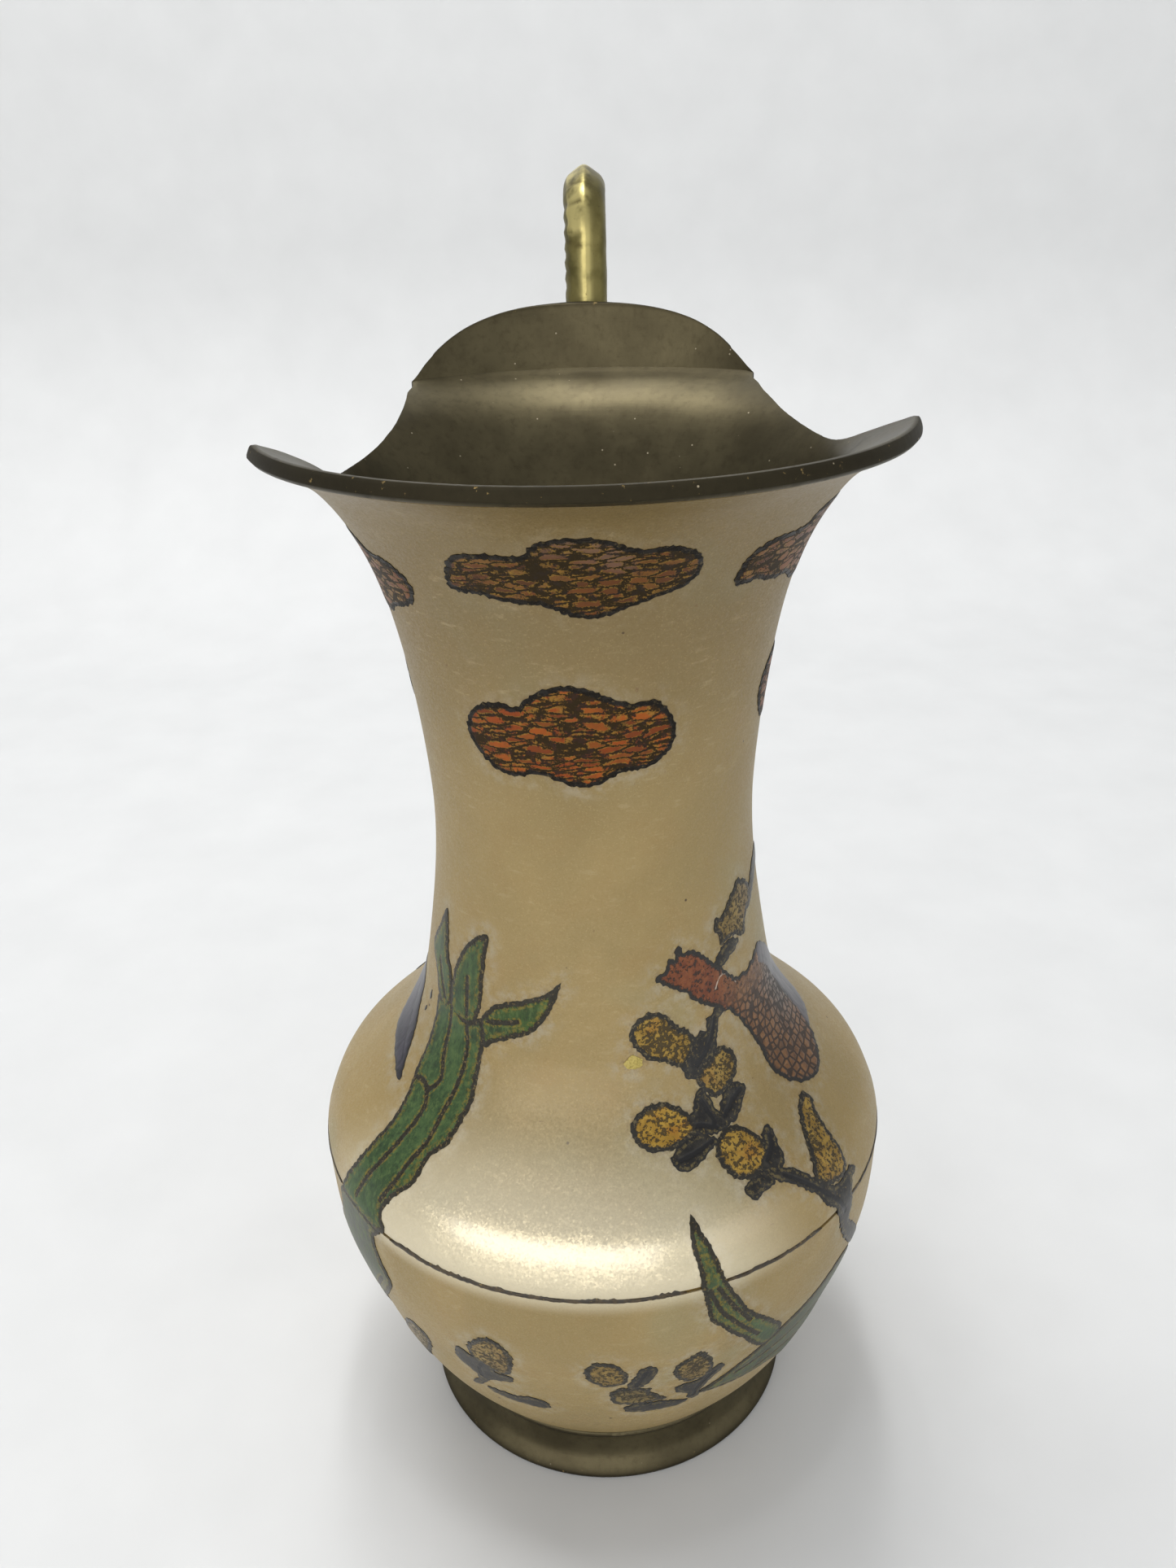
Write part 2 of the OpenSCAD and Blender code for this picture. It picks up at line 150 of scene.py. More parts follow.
def make_mesh(name, points, faces, attributes=None, sharp=None):
    """An object from points in millimetres."""
    mesh = bpy.data.meshes.new(name)
    mesh.from_pydata((np.asarray(points, float) * MM).tolist(), [], [list(f) for f in faces])
    for key, values in (attributes or {}).items():
        values = np.asarray(values, np.float32)
        if values.ndim == 1:
            mesh.attributes.new(key, "FLOAT", "POINT").data.foreach_set("value", values)
        else:
            layer = mesh.attributes.new(key, "FLOAT_VECTOR", "POINT")
            layer.data.foreach_set("vector", values.ravel())
    bm = bmesh.new()
    bm.from_mesh(mesh)
    bmesh.ops.remove_doubles(bm, verts=bm.verts, dist=2e-6)
    bmesh.ops.recalc_face_normals(bm, faces=bm.faces)
    bm.to_mesh(mesh)
    bm.free()
    mesh.shade_smooth()
    if sharp:
        mesh.set_sharp_from_angle(angle=math.radians(sharp))
    ob = bpy.data.objects.new(name, mesh)
    bpy.context.scene.collection.objects.link(ob)
    return ob


def grid_faces(rows, columns, close_rows=False, close_columns=True, start=0):
    """Quads of a grid of points stored row by row."""
    faces = []
    for i in range(rows if close_rows else rows - 1):
        for j in range(columns if close_columns else columns - 1):
            a, b = i * columns, (i + 1) % rows * columns
            k = (j + 1) % columns
            faces.append((start + a + j, start + a + k, start + b + k, start + b + j))
    return faces


def ripple(points, scale, amount, seed):
    """Smooth noise at each point, between -amount and amount."""
    shift = Vector((seed * 7.31, seed * 3.17, seed * 5.73))
    return np.array([noise.noise(Vector(p) * scale + shift) for p in np.asarray(points)]) * amount


def paint(ob, material):
    ob.data.materials.clear()
    ob.data.materials.append(material)


def place(ob, node, material):
    paint(ob, material)
    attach(ob, "root")
    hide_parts(node)


# ---- Motifs, as outlines of [azimuth, height] ------------------------------------------------
# Azimuth 0 is +X and -90 is the pouring side.

UPPER_CLOUD = [(-28.5, -4), (-28, 0), (-25, 3), (-19, 4.5), (-9, 4.5), (-7, 6.5), (-3, 8), (3, 8.5),
    (9, 7.5), (14, 5.5), (21, 5.5), (26, 4), (29, 1.5), (29, -1), (26, -3.5), (19, -5.5),
    (14, -6.5), (10, -8.2), (4, -8.8), (-1, -8), (-6, -6.2), (-14, -5.7), (-21, -4.5)]
LOWER_CLOUD = [(-32.5, -1), (-30, 3.5), (-25, 6), (-19, 7), (-14, 6.5), (-10, 9), (-3, 11.5),
    (4, 11.5), (11, 9.5), (18, 7.5), (25, 7.5), (29, 5), (32, 1), (32, -2), (29, -5.5), (23, -7.5),
    (16, -8), (10, -10), (3, -11), (-4, -9.5), (-9, -8.5), (-17, -9.5), (-24, -8.5), (-29, -5.5)]
UPPER_CLOUD_AT = [(-94, 236), (-25, 234.5), (-166, 229.5), (44, 235), (117, 234)]
LOWER_CLOUD_AT = [(-97, 201), (6.5, 202), (-203, 203), (82, 199)]

REED_LEAVES = [
    dict(outline=[(-153, 129), (-157, 134), (-163, 139), (-157, 146), (-152, 151.5), (-150, 146),
        (-149, 141), (-145.5, 136.5), (-144.5, 131), (-147, 127)], veins=[[(-154.5, 138),
        (-152, 134), (-148.5, 130)]], tone=0.35),
    dict(outline=[(-143.5, 128), (-145.5, 133), (-144.5, 137), (-144, 139.5), (-140, 145),
        (-135, 149), (-128.5, 151), (-129.5, 145), (-130, 139), (-130.5, 133), (-134, 128)],
        veins=[[(-137, 139), (-136.5, 134), (-136, 129.5)]], tone=0.6),
    dict(outline=[(-130, 130), (-127, 134), (-122, 136.5), (-115, 138.5), (-107, 141), (-102, 144),
        (-104, 139), (-107, 135), (-111, 131.5), (-117, 129), (-123, 127), (-127.5, 124.5),
        (-129, 127)], veins=[[(-127, 131), (-122, 131.8), (-116, 133.2)]], tone=1.0),
]
REED_STEM = [
    dict(outline=[(-153, 124), (-153.5, 129), (-149, 129.5), (-144, 130.5), (-139, 129),
        (-134, 129), (-129.5, 131), (-128, 127), (-127.5, 119), (-126.5, 113.5), (-127.5, 109),
        (-128, 106), (-131, 103), (-131.5, 98.5), (-134, 95.5), (-136, 92), (-137, 89),
        (-135.5, 87), (-137, 84.5), (-144, 84.5), (-151.5, 85), (-150.5, 90), (-148.5, 95),
        (-147, 100), (-146.5, 105), (-148, 109), (-150.5, 113), (-151.5, 118)], veins=[[(-144, 130),
        (-143.5, 124), (-142.5, 119), (-140, 115.5), (-139.5, 113.5), (-141.5, 111),
        (-139.5, 108.5), (-140.5, 103), (-142, 98), (-144, 93), (-145.5, 88)], [(-149.5, 111),
        (-145, 112), (-141.5, 111)], [(-136, 128.5), (-133.5, 122), (-133, 116), (-133.5, 110),
        (-133.5, 105), (-135, 101), (-136, 97), (-138, 92)]], tone=0.5),
]
REED_LOW = [
    dict(outline=[(-137.5, 85), (-139.5, 81), (-139, 76), (-137, 71.5), (-136.3, 68), (-139, 63),
        (-143, 57), (-148, 49), (-155, 40), (-163, 37.5), (-164.5, 50), (-162, 64), (-156, 75),
        (-152, 85)], veins=[[(-139.5, 68), (-146, 58), (-153, 48)]], tone=0.0),
]
LOW_REED = [
    dict(outline=[(-73.2, 99.3), (-74.2, 95), (-73.6, 90), (-73.4, 86), (-72.6, 81), (-72, 78),
        (-71.4, 74.5), (-69, 71), (-66.5, 67), (-63.5, 63), (-61, 58.5), (-57, 54), (-53, 58),
        (-57, 65), (-60, 69), (-63, 73), (-65, 77), (-67, 81.5), (-68.6, 85.5), (-69.4, 89),
        (-70.2, 92.5), (-71.6, 96)], veins=[[(-71.8, 84), (-69.5, 77), (-66, 71), (-60, 62)],
        [(-70, 84), (-67, 77), (-63, 70)]], tone=0.35),
    dict(outline=[(-70.5, 42.5), (-66, 46.5), (-60, 51.5), (-53, 57), (-48, 59.5), (-42, 62.5),
        (-36, 65.5), (-31, 64), (-27, 57), (-23.5, 46), (-22.5, 33), (-24, 25), (-28, 20),
        (-35, 24), (-42, 32), (-50, 38.5), (-60, 40.5)], veins=[[(-62, 46), (-50, 49), (-38, 50),
        (-30, 42)], [(-56, 42.5), (-46, 43), (-38, 38), (-31, 28)]], tone=0.05),
]
VIOLET = [
    dict(outline=[(-153, 108.5), (-157, 112), (-162, 117), (-166, 120), (-171, 125), (-177, 127.5),
        (-183, 127), (-183, 119), (-176, 112.5), (-166, 110.5), (-160, 109.5)], veins=[[(-158, 111),
        (-166, 115), (-175, 122)]], tone=0.2),
    dict(outline=[(-24.5, 137.8), (-21, 138), (-16, 135.8), (-11, 133), (-5, 129), (0, 125),
        (4, 119), (5, 113), (0, 110.5), (-6, 110), (-10, 110), (-7, 116), (-9, 121), (-14, 126.5),
        (-20, 131), (-25, 133.5)], veins=[[(-20, 134), (-10, 127), (-2, 119)], [(-12, 130),
        (-3, 122), (1, 114)]], tone=0.9),
]
TICKS = [dict(outline=[(-160.6, 125), (-160, 127.4), (-159.4, 126), (-159.8, 124.6)], tone=0.0),
         dict(outline=[(-161.4, 121.4), (-161, 122.8), (-160.5, 122), (-160.9, 121.2)], tone=0.0)]

BUDS = [
    dict(outline=[(-81.5, 131.5), (-80, 133.5), (-77, 135.5), (-74, 136.3), (-71, 135.5),
        (-68, 133.8), (-65, 131.3), (-62, 129.5), (-60.5, 127.5), (-61, 125), (-63, 123.3),
        (-65, 122), (-68, 122.6), (-71, 124), (-75, 125), (-78, 127), (-80.3, 129.3)], tone=0.6),
    dict(outline=[(-62, 118), (-60.5, 120.5), (-57, 121.7), (-54, 122.8), (-51, 123), (-49, 122.2),
        (-47.3, 120), (-48, 118), (-50, 116.3), (-53, 115), (-57, 114.6), (-60, 115.3)], tone=0.4),
    dict(outline=[(-83, 112.5), (-82, 114.5), (-79.5, 116), (-76, 116.7), (-72, 116.3), (-69, 115),
        (-67, 113), (-66, 111.5), (-67, 110), (-70, 109.5), (-74, 108.8), (-78, 108.9), (-81, 110)],
        tone=1.0),
    dict(outline=[(-64, 106), (-62.5, 108), (-60, 109.3), (-57, 109.4), (-54, 108), (-51.5, 105.7),
        (-51.3, 103.5), (-54, 102), (-57, 101), (-60, 101.5), (-62.5, 103)], tone=0.8),
    dict(outline=[(-44.5, 96), (-43, 98.5), (-41.5, 101), (-39.5, 103.5), (-37, 105.5),
        (-34.5, 106.5), (-32.5, 106.7), (-31.5, 104.7), (-33.3, 102.8), (-34, 100), (-34.3, 97),
        (-34.5, 93.2), (-36, 91.3), (-39, 91.5), (-42, 92.5), (-44, 94)], tone=0.6),
    dict(outline=[(-48, 150.5), (-46.8, 152.8), (-44, 152.2), (-41, 153.7), (-39, 155.3),
        (-36, 156.8), (-33, 158.3), (-30, 157.3), (-26.5, 156), (-24, 154), (-24, 151),
        (-27, 149.5), (-30, 147), (-31.5, 144.7), (-34, 144.6), (-38, 146), (-42, 146),
        (-45, 145.6), (-46.2, 148)], tone=0.2),
]
BOWL_BUDS = [
    dict(outline=[(-116.5, 65), (-114.5, 67.5), (-112.3, 68.3), (-110, 66.6), (-108.6, 63.5),
        (-108.7, 61), (-109.5, 57), (-110.5, 54), (-112.5, 53), (-115, 54.5), (-117.5, 56.5),
        (-118.5, 58.5), (-118.3, 62)], tone=0.3),
    dict(outline=[(-94.8, 60), (-94.5, 62.5), (-93, 64.8), (-91, 65.4), (-89.3, 64.5), (-87.5, 62),
        (-86.5, 59.5), (-86.7, 56.3), (-88, 54.8), (-90.5, 54), (-92, 54.7), (-94, 57)], tone=0.3),
    dict(outline=[(-90.3, 49), (-89.5, 51.5), (-88, 53), (-85.5, 52.4), (-82.3, 51.5),
        (-81.5, 49.5), (-79.5, 46.5), (-78, 44.5), (-81, 44), (-84, 43.5), (-87, 44),
        (-89.5, 45.5)], tone=0.0),
    dict(outline=[(-77.5, 57), (-77, 60.5), (-75, 62.5), (-73, 64.3), (-71.3, 62.5), (-69.8, 59.5),
        (-69, 56), (-69.5, 52), (-71, 50.5), (-74, 51), (-76, 53)], tone=0.2),
    dict(outline=[(-131.5, 53), (-134.5, 55.5), (-138, 53), (-142.5, 46), (-147.5, 36),
        (-151.5, 27), (-152, 22), (-147, 24), (-141, 32), (-135, 42), (-132, 48)], tone=0.1),
]
BUD_CHIP = [dict(outline=[(-83, 125.2), (-81.5, 127), (-79, 126.6), (-77.6, 125), (-80, 123.8),
                          (-82, 124)], tone=2.0)]

LEAFLETS = [
    dict(outline=[(-49.5, 142), (-48, 143.5), (-45, 145.3), (-41, 146), (-37, 145), (-36, 143.8),
        (-39, 142.6), (-43, 141.5), (-46, 140.4), (-48, 140.4)]),
    dict(outline=[(-55, 130.5), (-53, 131), (-51, 132), (-48.5, 131.8), (-47.5, 130.5),
        (-49.5, 129.5), (-51, 127), (-52, 125), (-53, 122.6), (-56, 121.5), (-59, 121), (-62, 119),
        (-64.5, 119.5), (-66, 121.5), (-65, 123), (-62, 125), (-61.3, 127.5), (-59, 127.5),
        (-57.5, 128.7), (-55.5, 127.5)], veins=[[(-52, 130), (-55, 125), (-61, 121.5)]]),
    dict(outline=[(-64.5, 115.5), (-63, 116.8), (-61.3, 117), (-60, 115.2), (-59.3, 113),
        (-58, 111), (-56, 109.8), (-60, 109.2), (-63, 109.2), (-65.5, 109.5), (-68, 110.3),
        (-70.8, 110.8), (-71, 112), (-68.5, 113), (-66, 113.8)], veins=[[(-62.5, 115), (-61, 111)],
        [(-70, 111.4), (-65, 111.2), (-61, 110)]]),
    dict(outline=[(-60.3, 110), (-58.5, 112.3), (-56.5, 114.2), (-54, 115.2), (-51, 115.5),
        (-49, 114.8), (-48.3, 113.5), (-50.5, 112), (-53, 110.8), (-56, 109.6)], veins=[[(-58, 111),
        (-54, 112.8), (-50, 113.8)]]),
    dict(outline=[(-74, 108), (-72, 109.3), (-69, 109.9), (-66, 109.9), (-63.5, 109.2), (-62, 108),
        (-65, 107), (-68, 105.8), (-71, 105.2), (-73.5, 105.7), (-74.6, 107)], veins=[[(-72.5, 107),
        (-68, 107.6), (-63.5, 108.4)]]),
    dict(outline=[(-54.8, 103.2), (-51.5, 104.6), (-51, 106), (-48.5, 106.9), (-47.5, 106.3),
        (-48, 103.5), (-48.6, 101.3), (-50, 100.3), (-52, 100), (-55, 101.3)], veins=[[(-53, 102.3),
        (-50.5, 103.5), (-49, 105.4)]]),
    dict(outline=[(-61, 99.8), (-59, 101), (-57, 101.2), (-54.5, 101.2), (-52.5, 100.3), (-54, 99),
        (-57, 98.3), (-59.5, 98.2)]),
    dict(outline=[(-53.5, 101.3), (-49.5, 100), (-46.3, 97.7), (-43.8, 95), (-42, 92.6),
        (-39.5, 91.2), (-36.5, 91.2), (-33.5, 91.4), (-32, 90), (-34.3, 88.6), (-35.3, 86),
        (-34.8, 82), (-35.3, 78), (-30.5, 71), (-25, 63), (-17.5, 54), (-20, 53), (-28, 62),
        (-34, 69), (-38.5, 77), (-40.5, 84), (-42, 87.3), (-44, 89.3), (-45, 91.8), (-47.3, 94.6),
        (-50.3, 97.6), (-53.8, 99.6)], veins=[[(-51, 99.3), (-47, 96), (-43.5, 92), (-40.5, 88),
        (-38, 83)]]),
    dict(outline=[(-40.3, 96), (-39.6, 98), (-38.3, 98.8), (-37.6, 96.5), (-38.3, 94),
        (-39.6, 92.6), (-40.6, 94)]),
    dict(outline=[(-30, 149.5), (-27, 151.5), (-24, 153.5), (-19, 156.5), (-13, 158.5), (-6, 158.5),
        (0, 156), (-6, 155), (-13, 154), (-20, 151.5), (-26, 149)]),
    dict(outline=[(-122.8, 55), (-121.5, 58.5), (-119.8, 58.3), (-118.5, 56.8), (-117.3, 57),
        (-115.5, 58), (-113.8, 58), (-113.3, 56.5), (-114, 54), (-113.3, 52.3), (-110.4, 52.5),
        (-110.5, 50), (-113, 48.5), (-116, 47), (-118, 44), (-120.5, 41), (-122.3, 41),
        (-119.8, 45), (-119.8, 47.5), (-121.6, 49.5), (-122.9, 52)], veins=[[(-115.3, 56.5),
        (-117.5, 52), (-118, 48)]]),
    dict(outline=[(-86.5, 53.5), (-86, 56), (-85, 58.5), (-84.3, 61.3), (-82.5, 62.3), (-81, 61),
        (-81, 58.5), (-82, 55.5), (-83.5, 53), (-85.5, 51.5)], veins=[[(-84.8, 54), (-83, 60)]]),
    dict(outline=[(-76.5, 49), (-74, 50), (-72, 49.8), (-70, 51.4), (-69, 54), (-67.3, 55),
        (-66.2, 53.5), (-67, 50.5), (-69, 47.5), (-70.3, 44), (-70.5, 41), (-72.7, 41),
        (-73.7, 44.5), (-75.8, 46.5)], veins=[[(-68.3, 52.5), (-70.8, 48), (-71.8, 43)]]),
    dict(outline=[(-118, 41.6), (-114, 42.3), (-111, 42.2), (-108, 43.6), (-105, 43.4),
        (-103.3, 41), (-104.5, 39.2), (-110, 38.8), (-116, 39.5)]),
    dict(outline=[(-86.3, 43.2), (-81, 43.6), (-78, 43), (-75.5, 42), (-72.8, 40.5), (-75, 38.8),
        (-81, 38.8), (-86.5, 39.8)]),
]

BIRD = [
    dict(outline=[(-71.8, 143.3), (-70.5, 144.4), (-68.2, 145), (-67.3, 147), (-65.8, 147.4),
        (-64.8, 146.8), (-63.6, 149.8), (-62.2, 149.6), (-61.8, 148), (-58.5, 148), (-56, 147),
        (-53, 145.3), (-50, 143), (-47, 140.8), (-44, 138.8), (-41, 136.8), (-39, 135.6),
        (-36, 136.1), (-33, 135.4), (-30.5, 136.6), (-28.5, 136.5), (-26, 137.5), (-23, 137),
        (-17, 132), (-11, 126), (-7, 119), (-6, 112.5), (-10, 109.3), (-13.5, 107.8), (-17, 106.8),
        (-22, 106), (-26, 106.2), (-30, 107.2), (-33, 108.8), (-35.5, 110.8), (-36.8, 114),
        (-36.7, 118), (-38, 121), (-39.7, 124), (-41, 126.3), (-43, 127.7), (-45.5, 129.4),
        (-48, 130.4), (-50.5, 132.2), (-53.5, 133.2), (-56.5, 134.8), (-59.3, 136.3), (-61, 138.2),
        (-64, 139.4), (-67, 140.8), (-70, 142)], tone=0.5),
]
BIRD_RINGS = [[(-50.2, 136.5), (-48, 138.6), (-45.5, 139)], [(-46.5, 139.4), (-42.5, 137.2),
                                                            (-40.5, 135.2)]]
GAPS = [(-153, -134), (-76, -68.5), (-46, -36.5), (45, 64), (150, 166)]


def turned(shapes, by):
    """The same shapes moved round the body."""
    result = []
    for shape in shapes:
        copy = dict(shape, outline=[(a + by, z) for a, z in shape["outline"]])
        copy["veins"] = [[(a + by, z) for a, z in v] for v in shape.get("veins", [])]
        result.append(copy)
    return result


# ---- Patches: one motif each, cut to its outline and fitted to the body -----------------------


def inside(points, loop):
    """Which points lie inside the closed loop."""
    x, y = points[:, 0], points[:, 1]
    found = np.zeros(len(points), bool)
    for (x0, y0), (x1, y1) in zip(loop, np.roll(loop, -1, axis=0)):
        crosses = (y0 > y) != (y1 > y)
        with np.errstate(divide="ignore", invalid="ignore"):
            at = (x1 - x0) * (y - y0) / (y1 - y0) + x0
        found ^= crosses & (x < at)
    return found


def evenly(line, step, closed=False):
    """The same line with points about a step apart."""
    line = np.asarray(line, float)
    if closed:
        line = np.vstack([line, line[:1]])
    run = np.concatenate([[0], np.cumsum(np.linalg.norm(np.diff(line, axis=0), axis=1))])
    n = max(2, int(round(run[-1] / step)))
    at = np.linspace(0, run[-1], n + 1)
    if closed:
        at = at[:-1]
    return np.stack([np.interp(at, run, line[:, k]) for k in (0, 1)], 1)


def distance_to(points, starts, ends):
    """Distance in 3-D from each point to the nearest of the segments."""
    best = np.full(len(points), 99.0)
    for a, b in zip(starts, ends):
        d = b - a
        t = np.clip((points - a) @ d / max(float(d @ d), 1e-9), 0, 1)
        best = np.minimum(best, np.linalg.norm(points - a - t[:, None] * d, axis=1))
    return best


def patch(shape, rng, ragged, cell, lift):
    """Points, faces and attributes of one motif, as a thin closed plate let into the coat."""
    loop = np.array(shape["outline"], float)
    a0, z0 = loop.mean(0)
    per_degree = math.radians(1) * outline_at(length_at(z0))[0]

    def to_plane(line):
        line = np.asarray(line, float)
        return np.stack([(line[:, 0] - a0) * per_degree, length_at(line[:, 1])], 1)

    edge = evenly(spline(to_plane(loop), 6, closed=True), 0.6, closed=True)
    along = np.roll(edge, -1, axis=0) - np.roll(edge, 1, axis=0)
    side = np.stack([along[:, 1], -along[:, 0]], 1)
    side /= np.maximum(np.linalg.norm(side, axis=1), 1e-6)[:, None]
    waver = np.array([noise.noise(Vector((x * 0.9, y * 0.9, 3.1))) for x, y in edge])
    edge = edge + side * (ragged * (0.9 * waver + 0.55 * rng.uniform(-1, 1, len(edge))))[:, None]

    veins = [evenly(spline(to_plane(v), 6), 0.7) for v in shape.get("veins", [])]
    low, high = edge.min(0), edge.max(0)
    xs, ys = np.meshgrid(np.arange(low[0], high[0], cell),
                         np.arange(low[1], high[1], cell * 0.87))
    xs = xs + cell / 2 * (np.arange(xs.shape[0]) % 2)[:, None]
    field = np.stack([xs.ravel(), ys.ravel()], 1)
    field += rng.uniform(-0.12, 0.12, field.shape) * cell
    field = field[inside(field, edge)]
    fixed = np.vstack([edge] + veins)
    keep = np.array([np.min(np.hypot(*(fixed - p).T)) > 0.45 * cell for p in field], bool)
    field = field[keep] if len(field) else field

    points, edges = [edge], [(i, (i + 1) % len(edge)) for i in range(len(edge))]
    count = len(edge)
    for v in veins:
        edges += [(count + i, count + i + 1) for i in range(len(v) - 1)]
        points.append(v)
        count += len(v)
    points.append(field)
    flat = np.vstack(points)
    result = geometry.delaunay_2d_cdt([Vector(p) for p in flat.tolist()], edges, [], 1, 1e-4)
    flat = np.array([tuple(p) for p in result[0]])
    faces = [tuple(f) for f in result[2]]

    az = a0 + flat[:, 0] / per_degree
    body = on_skin(az, flat[:, 1])
    rim = on_skin(a0 + edge[:, 0] / per_degree, edge[:, 1])
    to_edge = distance_to(body, rim, np.roll(rim, -1, axis=0))
    to_vein = np.full(len(flat), 99.0)
    for v in veins:
        line = on_skin(a0 + v[:, 0] / per_degree, v[:, 1])
        to_vein = np.minimum(to_vein, distance_to(body, line[:-1], line[1:]))

    height = PLATE_RISE + lift * smoothstep(to_edge / 0.8)
    groove = VEIN_DEPTH * (1 - smoothstep(to_vein / 0.6))
    top = on_skin(az, flat[:, 1], 1.0) - body
    top = body + top * (height - groove)[:, None]
    under = on_skin(az, flat[:, 1], -PLATE_DEPTH)

    uses = {}
    for f in faces:
        for i in range(3):
            key = tuple(sorted((f[i], f[(i + 1) % 3])))
            uses[key] = uses.get(key, 0) + 1
    n = len(flat)
    plates = faces + [tuple(i + n for i in reversed(f)) for f in faces]
    plates += [(a, b, b + n, a + n) for (a, b), times in uses.items() if times == 1]
    tone = np.full(n, shape.get("tone", 0.5))
    where = np.stack([flat[:, 0] + a0 * per_degree, flat[:, 1], tone], 1)
    return (np.vstack([top, under]), plates,
            dict(rim_mm=np.tile(to_edge, 2), vein_mm=np.tile(to_vein, 2),
                 sheet=np.vstack([where, where])))


OUTLINES = []


def motif(name, shapes, seed, ragged=0.3, cell=1.0, lift=0.12):
    """One object of all these shapes."""
    rng = np.random.default_rng(seed)
    points, faces, attributes, count = [], [], {}, 0
    for shape in shapes:
        p, f, a = patch(shape, rng, ragged, cell, lift)
        faces += [tuple(i + count for i in face) for face in f]
        points.append(p)
        count += len(p)
        for key, value in a.items():
            attributes.setdefault(key, []).append(value)
        OUTLINES.append(p[:len(p) // 2][a["rim_mm"][:len(p) // 2] < 0.05])
    attributes = {k: np.concatenate(v) for k, v in attributes.items()}
    return make_mesh(name, np.vstack(points), faces, attributes, sharp=50)


def cloud_shapes():
    shapes = []
    for outline, places in ((UPPER_CLOUD, UPPER_CLOUD_AT), (LOWER_CLOUD, LOWER_CLOUD_AT)):
        for i, (a, z) in enumerate(places):
            high = 0.0 if outline is UPPER_CLOUD else 1.0
            shapes.append(dict(outline=[(a + x, z + y) for x, y in outline],
                               tone=high if i == 0 else 0.2 + 0.6 * high))
    return shapes


# ---- Node helper -----------------------------------------------------------------------------


def lin(r, g, b):
    """A display colour of 0 to 255 as scene-linear RGBA."""
    def one(c):
        c /= 255
        return c / 12.92 if c <= 0.04045 else ((c + 0.055) / 1.055) ** 2.4
    return (one(r), one(g), one(b), 1.0)


class Value:
    """What a node works out. Plus, minus and times add further nodes."""

    def __init__(self, look, socket):
        self.look, self.socket = look, socket

    def __add__(self, other):
        return self.look.math("ADD", self, other)

    def __sub__(self, other):
        return self.look.math("SUBTRACT", self, other)

    def __rsub__(self, other):
        return self.look.math("SUBTRACT", other, self)

    def __mul__(self, other):
        return self.look.math("MULTIPLY", self, other)


